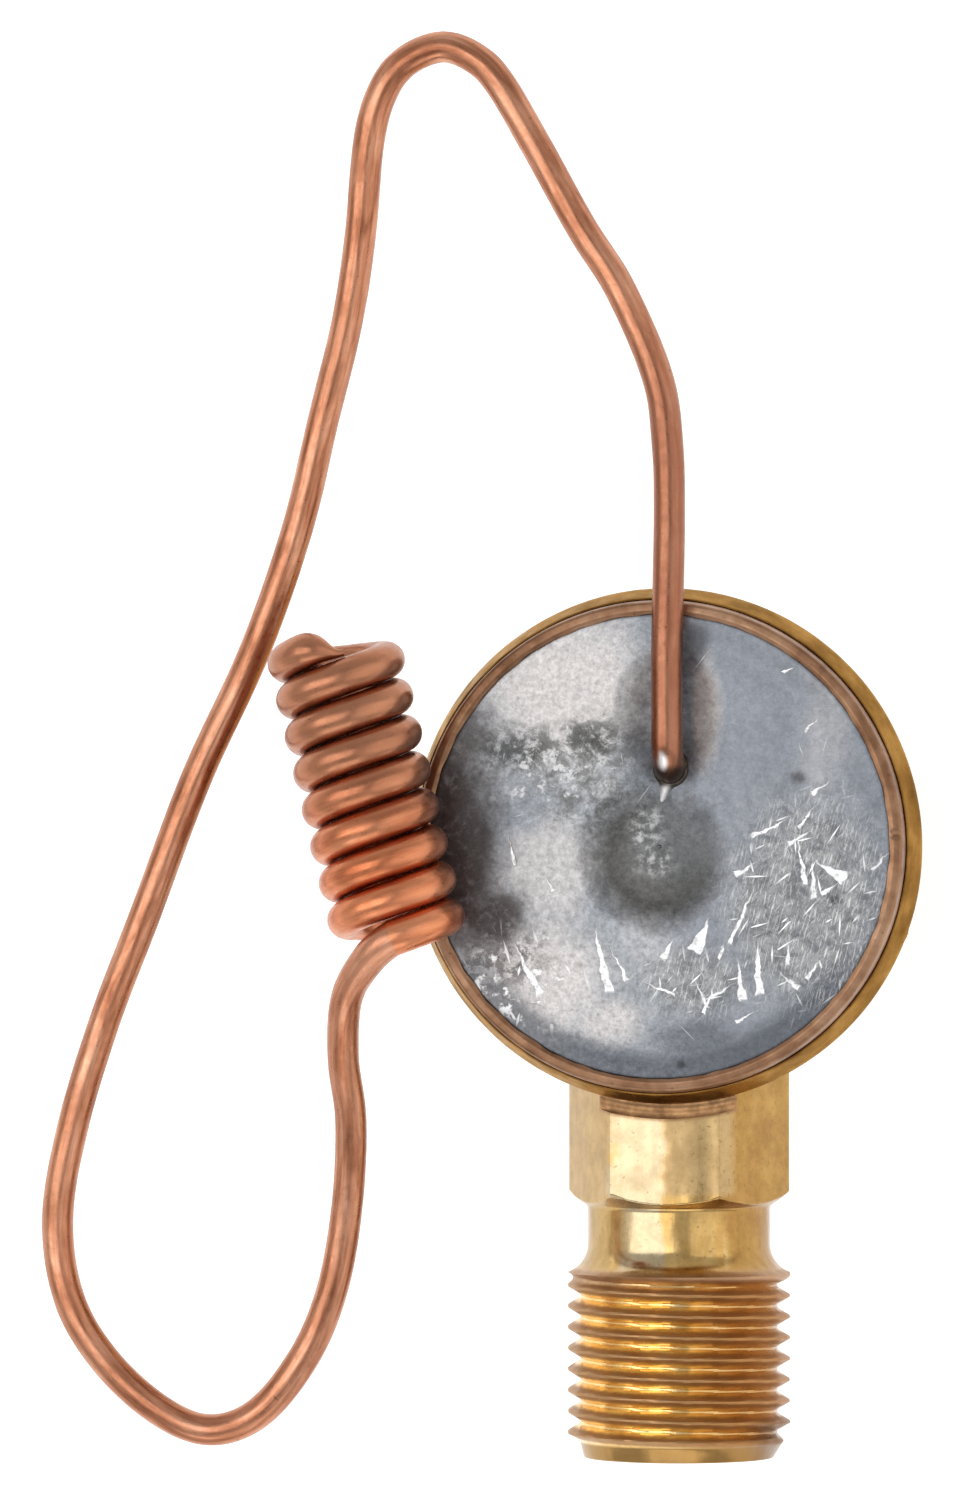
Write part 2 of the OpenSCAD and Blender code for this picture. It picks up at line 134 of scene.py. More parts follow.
def area_light(name, bearing, from_vertical, distance, width, length, power, colour):
    """A softbox that faces the head, at a bearing round Z and an angle from the vertical, in degrees."""
    aim = Vector((-0.012, 0.005, 0.035))
    b, a = math.radians(bearing), math.radians(from_vertical)
    direction = Vector((math.cos(b) * math.sin(a), math.sin(b) * math.sin(a), math.cos(a)))
    data = bpy.data.lights.new(name, "AREA")
    data.shape = "RECTANGLE"
    data.size, data.size_y = width, length
    data.energy, data.color = power, colour
    light = add_object(name, data)
    light.location = aim + direction * distance
    light.rotation_mode = "QUATERNION"
    light.rotation_quaternion = direction.to_track_quat("Z", "Y")
    light.visible_camera = False


def make_tent():
    """The world: a tent with bright walls and a dimmer roof."""
    world = bpy.data.worlds.new("studio")
    world.use_nodes = True
    tree = world.node_tree
    where = tree.nodes.new("ShaderNodeTexCoord")
    height = tree.nodes.new("ShaderNodeSeparateXYZ")
    tree.links.new(where.outputs["Generated"], height.inputs[0])
    tent = tree.nodes.new("ShaderNodeValToRGB")
    tree.links.new(height.outputs["Z"], tent.inputs[0])
    walls, roof = (0.45, (0.76, 0.76, 0.76, 1)), (0.97, (0.50, 0.51, 0.53, 1))
    for stop, (position, colour) in zip(tent.color_ramp.elements, (walls, roof)):
        stop.position = position
        stop.color = colour
    tree.links.new(tent.outputs[0], tree.nodes["Background"].inputs["Color"])
    bpy.context.scene.world = world


def floor_paper():
    """Pale paper, lit from behind so that it stays white right up to the part."""
    material = bpy.data.materials.new("floor_paper")
    material.use_nodes = True
    shader = material.node_tree.nodes["Principled BSDF"]
    shader.inputs["Base Color"].default_value = (0.93, 0.93, 0.93, 1)
    shader.inputs["Roughness"].default_value = 0.9
    shader.inputs["Emission Color"].default_value = (1, 1, 1, 1)
    shader.inputs["Emission Strength"].default_value = 0.4
    return material


def make_floor():
    """A sheet just under the outlet's end face, so that the two never share a plane."""
    size, gap = 3.0, 0.0003
    bm = bmesh.new()
    bmesh.ops.create_grid(bm, x_segments=2, y_segments=2, size=size)
    mesh = bpy.data.meshes.new("studio_floor")
    bm.to_mesh(mesh)
    bm.free()
    floor = add_object("studio_floor", mesh)
    floor.location.z = -gap
    mesh.materials.append(floor_paper())


def make_studio():
    """The tent, tall softboxes left and right, a low one at the foot, and the floor."""
    make_tent()
    area_light("softbox_left", 180, 27, 0.9, 0.54, 1.0, 3.2, (1.0, 0.99, 0.975))
    area_light("softbox_right", 0, 55, 0.9, 1.0, 1.2, 2.7, (1.0, 0.985, 0.96))
    area_light("softbox_foot", 270, 62, 1.0, 0.9, 0.5, 1.6, (1.0, 0.99, 0.97))
    bpy.context.scene.view_settings.view_transform = "Standard"
    bpy.context.scene.view_settings.look = "None"
    make_floor()


# ---------------------------------------------------------------- material nodes
class Nodes:
    """Short names for the nodes that the materials are built from. Coordinates are in millimetres."""

    def __init__(self, name):
        self.material = bpy.data.materials.new(name)
        self.material.use_nodes = True
        self.tree = self.material.node_tree
        self.tree.nodes.clear()
        self.output = self.add("ShaderNodeOutputMaterial")
        self.shader = self.add("ShaderNodeBsdfPrincipled")
        self.link(self.shader.outputs[0], self.output.inputs["Surface"])
        coordinates = self.add("ShaderNodeTexCoord")
        self.place = self.vector("MULTIPLY", coordinates.outputs["Object"], (1000, 1000, 1000))
        self.uv = coordinates.outputs["UV"]

    def add(self, kind, **settings):
        node = self.tree.nodes.new(kind)
        for key, value in settings.items():
            setattr(node, key, value)
        return node

    def link(self, source, target):
        self.tree.links.new(source, target)

    def put(self, socket, value):
        if isinstance(value, bpy.types.NodeSocket):
            self.link(value, socket)
        elif isinstance(value, (tuple, list)) and len(value) == 3 and socket.type == "RGBA":
            socket.default_value = (*value, 1)
        else:
            socket.default_value = value

    def filled(self, node, values):
        """The node, with its inputs set in order."""
        for socket, value in zip(node.inputs, values):
            self.put(socket, value)
        return node

    def math(self, operation, *values):
        return self.filled(self.add("ShaderNodeMath", operation=operation), values).outputs[0]

    def chain(self, operation, values):
        result = values[0]
        for value in values[1:]:
            result = self.math(operation, result, value)
        return result

    def times(self, *values):
        return self.chain("MULTIPLY", values)

    def most(self, *values):
        return self.chain("MAXIMUM", values)

    def vector(self, operation, *values):
        node = self.filled(self.add("ShaderNodeVectorMath", operation=operation), values)
        scalar = operation in ("LENGTH", "DISTANCE", "DOT_PRODUCT")
        return node.outputs["Value" if scalar else "Vector"]

    def parts(self, vector):
        node = self.add("ShaderNodeSeparateXYZ")
        self.link(vector, node.inputs[0])
        return node.outputs

    def joined(self, x, y, z):
        return self.filled(self.add("ShaderNodeCombineXYZ"), (x, y, z)).outputs[0]

    def noise(self, size, detail=4, roughness=0.55, stretch=(1, 1, 1), where=None, shift=0.0, warp=0.0):
        """Noise whose features are about size millimetres wide, stretched along the axes."""
        scale = tuple(1 / (size * s) for s in stretch)
        moved = self.vector("MULTIPLY_ADD", where or self.place, scale, (shift, shift * 1.7, -shift))
        node = self.add("ShaderNodeTexNoise")
        self.put(node.inputs["Vector"], moved)
        node.inputs["Scale"].default_value = 1.0
        node.inputs["Detail"].default_value = detail
        node.inputs["Roughness"].default_value = roughness
        node.inputs["Distortion"].default_value = warp
        return node.outputs["Fac"]

    def ramp(self, value, *stops):
        """A colour or grey ramp through (position, colour) stops."""
        node = self.add("ShaderNodeValToRGB")
        self.put(node.inputs[0], value)
        elements = node.color_ramp.elements
        while len(elements) < len(stops):
            elements.new(0.5)
        for element, (at, colour) in zip(elements, stops):
            element.position = at
            element.color = (*colour, 1) if isinstance(colour, tuple) else (colour, colour, colour, 1)
        return node.outputs["Color"]

    def step(self, value, low, high, to_low=0.0, to_high=1.0):
        """A smooth step of a value, from to_low at low to to_high at high."""
        node = self.add("ShaderNodeMapRange", interpolation_type="SMOOTHSTEP")
        return self.filled(node, (value, low, high, to_low, to_high)).outputs[0]

    def mix(self, factor, first, second, blend="MIX"):
        node = self.add("ShaderNodeMix", data_type="RGBA", blend_type=blend)
        colours = [s for s in node.inputs if s.type == "RGBA"]
        self.put(node.inputs[0], factor)
        self.put(colours[0], first)
        self.put(colours[1], second)
        return next(s for s in node.outputs if s.type == "RGBA")

    def tint(self, colour, mask, strength, tone):
        """The colour turned to tone where the mask is 1, at a strength from 0 to 1."""
        return self.mix(self.times(mask, strength), colour, tone)

    def shade(self, colour, factor):
        """The colour multiplied by a factor or by another colour."""
        return self.mix(1.0, colour, factor, blend="MULTIPLY")

    def bump(self, height, depth, strength=1.0, after=None):
        """A bump of depth millimetres for a height that goes from 0 to 1."""
        node = self.add("ShaderNodeBump")
        node.inputs["Strength"].default_value = strength
        node.inputs["Distance"].default_value = depth * MM
        self.put(node.inputs["Height"], height)
        if after is not None:
            self.link(after, node.inputs["Normal"])
        return node.outputs[0]

    def finish(self, colour, roughness, normal=None, metallic=1.0):
        self.put(self.shader.inputs["Base Color"], colour)
        self.put(self.shader.inputs["Roughness"], roughness)
        self.put(self.shader.inputs["Metallic"], metallic)
        if normal is not None:
            self.link(normal, self.shader.inputs["Normal"])
        return self.material


def arm_brass(n, cloud, speck):
    """Colour of the body away from the threads, and where the arm's top is dull and darkened with painted
    shade.
    """
    x, y, z = n.parts(n.place)
    up = n.math("SUBTRACT", z, INLET_Z)
    streak = n.noise(1.1, 5, 0.6, stretch=(1, 7, 1), warp=0.6)
    colour = n.ramp(streak, (0.3, (0.58, 0.36, 0.12)), (0.5, (0.69, 0.46, 0.17)), (0.68, (0.78, 0.58, 0.27)))
    colour = n.mix(n.step(cloud, 0.45, 0.7, 0.0, 0.55), colour, (0.58, 0.40, 0.17))
    # The sides of the arm are tarnished, more so on its right
    arm = n.step(y, -13.0, -14.0)
    right = n.times(n.step(n.math("MULTIPLY_ADD", cloud, 3.0, x), 4.6, 6.4), arm)
    tarnish = n.ramp(cloud, (0.35, (0.48, 0.29, 0.085)), (0.65, (0.40, 0.22, 0.065)))
    colour = n.tint(colour, right, 0.85, tarnish)
    colour = n.tint(colour, n.times(n.step(x, -3.8, -4.6), arm), 0.7, (0.52, 0.37, 0.17))
    # Painted highlight: the top is painted pale left of the middle, where the left softbox is reflected, with
    # a painted dark reflection wandering beside it
    sway = n.math("MULTIPLY_ADD", n.noise(2.6, 3, 0.5, shift=21), 2.6, -1.3)
    offset = n.math("ADD", x, sway)
    top = n.step(up, 5.2, 6.2)
    painted_highlight = n.times(n.step(offset, -4.3, -3.4), n.step(offset, 0.2, -0.5), top, arm)
    colour = n.tint(colour, painted_highlight, 0.8, (0.62, 0.55, 0.39))
    dark_reflection = n.step(n.math("ABSOLUTE", n.math("SUBTRACT", offset, 0.35)), 0.75, 0.1)
    colour = n.tint(colour, n.times(dark_reflection, top, n.step(y, -24.8, -24.0)), 0.7, (0.34, 0.20, 0.09))
    # Painted shade: right of the middle the top is darkened where it reflects the dim roof; it is also
    # rougher there
    dull = n.times(n.step(offset, -0.6, 0.6), top, n.step(y, -25.0, -24.4))
    colour = n.tint(colour, dull, 0.75, (0.58, 0.43, 0.23))
    # Handling has clouded the whole arm, and dark freckles lie on its right
    cloudy = n.step(n.noise(1.8, 6, 0.7, shift=31), 0.30, 0.70)
    handled = n.ramp(cloudy, (0.0, (0.66, 0.61, 0.55)), (1.0, (0.88, 0.85, 0.82)))
    colour = n.mix(arm, colour, n.shade(colour, handled))
    freckled = n.math("MULTIPLY_ADD", n.step(x, 0.5, 5.5), 0.035, speck)
    return n.mix(n.step(freckled, 0.63, 0.71, 0.0, 0.65), colour, (0.26, 0.15, 0.06)), dull


def thread_brass(n, cloud, crest):
    """Colour of the inlet thread: polished golden roots, dull brown crests, and painted shade darkening it to
    the right.
    """
    x, y, _ = n.parts(n.place)
    grain = n.noise(1.5, 4, 0.6, stretch=(1.5, 0.35, 1.5), shift=2)
    colour = n.ramp(grain, (0.35, (0.78, 0.50, 0.18)), (0.55, (0.90, 0.62, 0.26)), (0.75, (0.96, 0.75, 0.40)))
    colour = n.tint(colour, crest, 0.9, (0.35, 0.19, 0.09))
    # Painted shade: the thread darkens to the right, away from the brighter left light
    right = n.step(n.math("MULTIPLY_ADD", cloud, 3.0, x), 1.0, 7.0, 0.0, 0.8)
    colour = n.mix(right, colour, (0.36, 0.17, 0.055))
    worn_turn = n.times(n.step(y, -29.6, -30.2), n.step(y, -31.3, -30.9))
    colour = n.tint(colour, worn_turn, 0.7, (0.45, 0.28, 0.17))
    colour = n.mix(n.step(y, -42.4, -42.7, 0.0, 0.9), colour, (0.29, 0.16, 0.05))
    torn = n.times(n.step(x, 5.2, 7.0), n.step(y, -40.2, -41.2))
    return n.tint(colour, torn, 0.6, (0.12, 0.06, 0.03))


def body_brass():
    """Brass of the body, from its arm and its threads to the relief under the head, stained and painted with
    shade.
    """
    n = Nodes("body_brass")
    x, y, z = n.parts(n.place)
    axis_r = n.vector("LENGTH", n.joined(x, 0.0, n.math("SUBTRACT", z, INLET_Z)))
    plan_r = n.vector("LENGTH", n.joined(x, y, 0.0))
    cloud = n.noise(3.5, 4, 0.6, shift=4)
    speck = n.noise(0.35, 3, 0.6, shift=9)
    colour, dull = arm_brass(n, cloud, speck)
    threaded = n.times(n.step(y, -29.7, -30.6), n.step(axis_r, 8.6, 8.2))
    crest = n.step(n.math("MULTIPLY_ADD", speck, 0.3, axis_r), 7.36, 7.74)
    colour = n.mix(threaded, colour, thread_brass(n, cloud, crest))
    foot = n.times(n.step(z, 12.2, 11.6), n.step(plan_r, 9.75, 9.15))
    colour = n.tint(colour, foot, 0.7, (0.30, 0.15, 0.06))
    # The floor and wall of the relief under the head are darkened: partly flux stain, partly painted shade
    # under the head's overhang
    under_head = n.times(n.step(plan_r, 19.6, 19.25), n.step(z, RELIEF_Z - 0.2, RELIEF_Z - 0.1))
    stain = n.ramp(n.noise(0.8, 4, 0.6, shift=6), (0.35, (0.18, 0.09, 0.045)), (0.65, (0.38, 0.21, 0.10)))
    colour = n.tint(colour, under_head, 0.9, stain)
    roughness = n.step(n.noise(0.9, 4, 0.6, stretch=(1, 4, 1), shift=3), 0.3, 0.75, 0.16, 0.30)
    roughness = n.math("MULTIPLY_ADD", dull, 0.14, roughness)
    roughness = n.math("ADD", roughness, n.times(crest, threaded, 0.22))
    roughness = n.math("ADD", roughness, n.times(under_head, 0.10))
    wave = n.bump(n.noise(3.2, 2, 0.5, stretch=(0.8, 2.2, 0.8), shift=5), 0.16, 0.55)
    fine = n.bump(n.noise(0.12, 3, 0.6, stretch=(1, 9, 1), shift=7), 0.006, 0.5, after=wave)
    return n.finish(colour, roughness, fine)


def turned_metal(name, dark, mid, light, roughness=(0.2, 0.4), groove=0.25, stain=0.35, edge=(1, 1, 1)):
    """Metal turned on a lathe: fine rings round Z, tarnish and dark specks. edge tints grazing views."""
    n = Nodes(name)
    n.put(n.shader.inputs["Specular Tint"], edge)
    x, y, z = n.parts(n.place)
    plan_r = n.vector("LENGTH", n.joined(x, y, 0.0))
    rings = n.noise(groove, 2, 0.5, where=n.joined(plan_r, z, 0.0))
    cloud = n.noise(3.5, 4, 0.6, shift=2)
    colour = n.ramp(cloud, (0.32, dark), (0.5, mid), (0.7, light))
    colour = n.mix(n.step(rings, 0.45, 0.75, 0.0, 0.3), colour, dark)
    specks = n.step(n.noise(0.5, 3, 0.65, shift=8), 0.62, 0.72, 0.0, stain)
    colour = n.mix(specks, colour, tuple(c * 0.35 for c in dark))
    rough = n.step(n.noise(1.3, 4, 0.6, shift=5), 0.3, 0.7, *roughness)
    normal = n.bump(rings, 0.02, 0.5)
    normal = n.bump(n.noise(2.2, 2, 0.5, shift=1), 0.06, 0.35, after=normal)
    return n.finish(colour, rough, normal)


def browning_and_painted_shade(n, colour):
    """Copper browned over the head, painted near black as shade on the elbow where it turns down into the
    cap, with one pale glint.
    """
    x, y, _ = n.parts(n.place)
    near = n.step(x, -6.0, -3.0)
    colour = n.tint(colour, n.times(n.step(y, 40.0, 30.0), near), 0.7, (0.24, 0.095, 0.055))
    # Painted shade on the elbow, where the tube turns down into the cap
    colour = n.tint(colour, n.times(n.step(y, 5.9, 5.3), near), 0.88, (0.06, 0.035, 0.022))
    return n.mix(spot(n, 0.5, 6.0, 0.36, 0.6, 1.6, 0.15), colour, (0.80, 0.80, 0.80))


def copper_tube(name, dark, mid, light, gradient=None):
    """Drawn copper: streaks along the tube, cloudy oxide, small nicks. UV is (turn, length in mm)."""
    n = Nodes(name)
    u, v, _ = n.parts(n.uv)
    turn = n.times(u, TAU)
    ring = n.joined(n.math("COSINE", turn), n.math("SINE", turn), n.times(v, 0.035))
    streak = n.noise(0.22, 4, 0.6, where=ring)
    cloud = n.noise(0.7, 4, 0.6, where=n.vector("MULTIPLY", ring, (1, 1, 4)), warp=0.3)
    patch = n.noise(9, 3, 0.5, shift=3)
    colour = n.ramp(cloud, (0.3, dark), (0.5, mid), (0.72, light))
    colour = n.mix(n.step(streak, 0.42, 0.72, 0.0, 0.5), colour, dark)
    colour = n.mix(n.step(patch, 0.5, 0.7, 0.0, 0.35), colour, light)
    if gradient is None:
        colour = browning_and_painted_shade(n, colour)
    else:
        start, end, tint = gradient
        _, y, _ = n.parts(n.place)
        colour = n.mix(n.step(y, start, end, 0.0, 0.75), colour, tint)
    nick = n.step(n.noise(0.5, 3, 0.7, shift=11), 0.66, 0.74, 0.0, 0.6)
    colour = n.mix(nick, colour, tuple(c * 0.4 for c in dark))
    rough = n.step(n.noise(0.8, 4, 0.65, shift=7), 0.3, 0.72, 0.25, 0.40)
    normal = n.bump(streak, 0.012, 0.6)
    normal = n.bump(n.noise(1.6, 2, 0.5, shift=5), 0.05, 0.4, after=normal)
    return n.finish(colour, rough, normal)


def strokes(n, cell, length, width, seed, share, lean=0.0, spread=180.0):
    """A short scratch in each cell of a Voronoi pattern, lean degrees from X and up to spread off it."""
    flat = n.vector("MULTIPLY_ADD", n.place, (1 / cell, 1 / cell, 0), (seed, -seed, 0))
    node = n.add("ShaderNodeTexVoronoi", voronoi_dimensions="2D", feature="F1")
    n.put(node.inputs["Vector"], flat)
    node.inputs["Scale"].default_value = 1.0
    node.inputs["Randomness"].default_value = 1.0
    r, g, b = n.parts(node.outputs["Color"])
    away = n.parts(n.vector("SUBTRACT", flat, node.outputs["Position"]))
    angle = n.math("MULTIPLY_ADD", r, math.radians(2 * spread), math.radians(lean - spread))
    c, s = n.math("COSINE", angle), n.math("SINE", angle)
    along = n.math("ADD", n.times(away[0], c), n.times(away[1], s))
    across = n.math("SUBTRACT", n.times(away[1], c), n.times(away[0], s))
    reach = n.times(n.math("ADD", g, 0.35), length / cell / 2)
    ends = n.math("DIVIDE", n.math("ABSOLUTE", along), reach)
    # Each stroke tapers to a point at its ends
    half = n.times(n.math("SUBTRACT", 1.0, ends), width / cell / 2)
    line = n.step(n.math("SUBTRACT", n.math("ABSOLUTE", across), half), 0.02 / cell, 0.0)
    line = n.times(line, n.math("LESS_THAN", ends, 1.0))
    return n.times(line, n.math("GREATER_THAN", b, 1 - share))


def hatch(n, angle, length, width, low, high, shift):
    """Fine parallel scratches at an angle to X in degrees: 1 where one runs."""
    c, s = math.cos(math.radians(angle)), math.sin(math.radians(angle))
    along, across = (n.vector("DOT_PRODUCT", n.place, axis) for axis in ((c, s, 0), (-s, c, 0)))
    turned = n.joined(along, across, 0.0)
    return n.step(n.noise(1.0, 3, 0.6, stretch=(length, width, 1), where=turned, shift=shift), low, high)


def spot(n, x, y, radius, soft=0.6, stretch=1.0, ragged=3.2):
    """1 inside an ellipse round a point of the cap, fading to 0 outside it, with a ragged edge."""
    px, py, _ = n.parts(n.place)
    dx = n.math("SUBTRACT", px, x)
    dy = n.math("DIVIDE", n.math("SUBTRACT", py, y), stretch)
    far = n.vector("LENGTH", n.joined(dx, dy, 0.0))
    edge = n.math("MULTIPLY_ADD", n.noise(2.0, 5, 0.65, shift=x + 0.3 * y), ragged, -ragged / 2)
    return n.step(n.math("ADD", far, edge), radius * (1 + soft), radius * (1 - soft))


def gouge(n, place, start, end, width):
    """A wedge-shaped gouge, 1 inside: pointed at its start and as wide as width near its end."""
    run = Vector(end) - Vector(start)
    along = run / run.length_squared
    side = Vector((-run.y, run.x)) / run.length
    away = n.vector("SUBTRACT", place, (*start, 0.0))
    t = n.vector("DOT_PRODUCT", away, (along.x, along.y, 0.0))
    across = n.math("ABSOLUTE", n.vector("DOT_PRODUCT", away, (side.x, side.y, 0.0)))
    inside = n.math("MULTIPLY_ADD", t, -width / 2, across)
    return n.times(n.step(inside, 0.07, -0.02), n.step(t, 1.0, 0.93))


# Gouges on the cap, in millimetres from the head's axis: pointed end, wide end and width
GOUGES = [
    ((-4.4, -5.9), (-3.5, -10.4), 0.9), ((-3.2, -7.5), (-2.2, -9.5), 0.4),
    ((-1.2, -9.5), (1.2, -10.5), 0.3), ((1.0, -6.6), (0.2, -7.9), 0.55), ((3.6, -5.2), (2.5, -7.4), 1.3),
    ((6.6, -3.3), (5.0, -6.9), 0.4), ((4.6, -6.9), (4.2, -7.9), 0.35), ((5.6, -8.1), (6.0, -10.9), 0.65),
    ((7.0, -6.9), (7.2, -10.5), 0.8), ((9.1, -6.9), (9.2, -8.4), 0.35), ((8.6, -8.9), (10.0, -10.0), 0.4),
    ((11.5, -8.0), (10.4, -9.3), 0.35), ((5.1, -9.8), (3.7, -10.5), 0.3),
    ((3.9, -10.0), (3.2, -11.8), 0.35), ((6.7, -11.7), (5.5, -12.4), 0.3),
    ((-8.1, -2.1), (-7.4, -3.3), 0.35), ((-10.6, 0.4), (-10.2, -1.4), 0.35),
    ((10.9, -1.0), (10.9, -3.7), 0.5), ((9.9, 0.5), (10.4, -2.7), 0.35), ((9.2, 2.0), (6.5, 0.6), 0.35),
    ((10.9, 2.6), (9.9, 1.2), 0.35), ((10.7, 1.0), (9.0, 0.2), 0.35), ((11.9, 4.4), (10.9, 3.6), 0.4),
    ((11.2, -1.0), (13.2, -2.3), 1.1), ((12.6, -2.6), (11.4, -3.4), 0.35), ((7.0, -1.1), (5.4, -2.0), 0.4),
    ((9.4, 12.6), (8.8, 12.2), 0.35), ((11.1, 8.8), (10.3, 8.1), 0.25), ((16.1, -0.5), (15.1, -1.7), 0.3),
    ((-10.2, -7.0), (-8.4, -10.6), 0.7), ((2.6, -9.6), (3.6, -11.4), 0.3),
]


def gouges(n, place):
    return n.most(0.0, *(gouge(n, place, start, end, 0.85 * width) for start, end, width in GOUGES))


def patches(n, *rows):
    """The most of several spots. Each row is a strength and then what spot() takes."""
    return n.most(*(n.times(spot(n, *place), strength) for strength, *place in rows))


def tin_base_and_painted_light(n):
    """The tin before it was marked, with painted light: pale patches mostly on the left, and painted shade,
    bluer and darker, on the right.
    """
    x, _, _ = n.parts(n.place)
    wide = n.noise(6.5, 3, 0.5, shift=5)
    colour = n.ramp(wide, (0.36, (0.34, 0.37, 0.41)), (0.52, (0.43, 0.45, 0.48)), (0.68, (0.55, 0.55, 0.57)))
    # Painted shade: bluer and darker on the right, away from the brighter left light
    right = n.step(n.math("MULTIPLY_ADD", wide, 5.0, x), 1.5, 6.5)
    colour = n.tint(colour, right, 0.85, (0.29, 0.315, 0.36))
    # Painted light: pale patches, mostly on the left
    pale = patches(n, (1, -6.5, 11, 5.4, 0.45, 0.8), (1, -8.8, -9.4, 4.8, 0.5, 0.8),
                   (0.75, -7.6, -1.6, 2.9, 0.5, 1.2), (0.9, -3.6, -12.3, 2.4, 0.6, 0.7),
                   (0.35, 11.8, 8.5, 1.5, 0.7, 2.8))
    return n.tint(colour, pale, 0.9, (0.72, 0.69, 0.68))


def painted_coil_shadow(n, mottle):
    """Where the coil's shadow and reflection are painted dark on the cap's left edge, 0 to 1."""
    mottled_shadow = n.times(spot(n, -11.6, -7.6, 3.2, 0.6, 0.9), n.step(mottle, 0.55, 0.45))
    coil_shadow_mask = patches(n, (1, -15.2, 0.5, 3.8, 0.4, 2.0), (1, -11.8, -5.2, 2.3, 0.6, 1.0),
                   (1, -17.0, 1.5, 3.4, 0.3, 2.4), (0.8, -13.6, 8.2, 1.8, 0.6, 1.2))
    return n.times(n.most(coil_shadow_mask, n.times(mottled_shadow, 0.75)), n.step(mottle, 0.72, 0.5, 0.55, 1.0))


def bowl_painted_shade(n, mottle):
    """Where painted shade darkens the bowl of the hollow in a ring, 0 to 1, weaker on its upper right."""
    x, y, _ = n.parts(n.place)
    bowl = n.vector("LENGTH", n.joined(n.math("ADD", x, 0.1), n.math("ADD", y, 0.6), 0.0))
    ragged = n.math("MULTIPLY_ADD", mottle, 1.6, bowl)
    return n.times(n.step(ragged, 6.8, 4.2), n.step(ragged, 1.6, 4.4, 0.8, 1.0),
                   n.step(n.math("ADD", x, y), 6.0, -1.0, 0.55, 1.0))


def tin_marks_and_painted_light(n, colour, mottle, coil_shadow_mask, ring):
    """Grey cloud and dark band on the upper left, the painted coil shadow, the bottom edge, painted shade in
    the hollow and channel, a painted highlight on the channel's right wall, and painted shadows.
    """
    x, y, _ = n.parts(n.place)
    cloud = n.times(spot(n, -5.4, 4.6, 3.8, 0.6, 0.8), n.step(mottle, 0.60, 0.38))
    colour = n.tint(colour, cloud, 0.8, (0.17, 0.17, 0.16))
    band = patches(n, (1, -9.8, 6.9, 2.8, 0.6, 0.55), (1, -4.8, 7.6, 2.6, 0.7, 0.5))
    colour = n.tint(colour, n.times(band, n.step(mottle, 0.62, 0.46)), 0.9, (0.085, 0.09, 0.085))
    # Painted shadow and reflection of the coil on the left edge
    colour = n.tint(colour, coil_shadow_mask, 0.92, (0.058, 0.047, 0.044))
    far = n.math("MULTIPLY_ADD", mottle, 1.8, n.vector("LENGTH", n.joined(x, y, 0.0)))
    low = n.times(n.step(far, 14.6, 16.2), n.step(y, -5.0, -11.0))
    low = n.most(low, patches(n, (0.8, 3.0, -14.2, 3.4, 0.5, 0.6)))
    colour = n.tint(colour, low, 0.75, (0.105, 0.115, 0.135))
    # Painted shade in a ring round the bowl
    colour = n.tint(colour, ring, 0.86, (0.125, 0.122, 0.112))
    # Painted shade beside the tube in the channel
    channel = patches(n, (1, -1.4, 8.8, 1.3, 0.7, 2.6, 1.0), (1, 2.2, 8.6, 0.7, 0.7, 4.0, 0.6))
    colour = n.tint(colour, channel, 0.15, (0.20, 0.21, 0.23))
    # Painted highlight on the channel's right wall
    channel_highlight = n.times(spot(n, 3.2, 9.6, 1.1, 0.5, 3.2, 0.8), n.step(x, 2.0, 2.6))
    colour = n.tint(colour, channel_highlight, 0.85, (0.60, 0.57, 0.55))
    shadow = patches(n, (1, 2.6, 14.4, 0.9, 0.6, 1.6, 1.2), (1, 9.9, 4.9, 0.55, 0.7, 0.8, 1.2),
                     (1, 1.6, -15.3, 0.3, 0.7, 1.0, 0.6), (1, 12.5, -3.7, 0.35, 0.7, 1.0, 0.6))
    return n.tint(colour, shadow, 0.7, (0.06, 0.06, 0.065))


def grainy_tin(n, colour, mottle, fine):
    """Grain at three sizes, dark freckles and bright flecks."""
    x, _, _ = n.parts(n.place)
    grain = n.noise(0.20, 4, 0.75, shift=13)
    colour = n.shade(colour, n.step(mottle, 0.32, 0.68, 0.78, 1.18))
    finer = n.shade(colour, n.step(fine, 0.32, 0.68, 0.74, 1.18))
    colour = n.mix(n.step(x, -1.0, 7.0, 1.0, 0.45), colour, finer)
    colour = n.mix(0.5, colour, n.shade(colour, n.step(grain, 0.32, 0.68, 0.80, 1.16)))
    colour = n.mix(n.step(fine, 0.37, 0.31, 0.0, 0.6), colour, (0.10, 0.10, 0.10))
    return n.mix(n.step(grain, 0.66, 0.74, 0.0, 0.5), colour, (0.78, 0.79, 0.80))


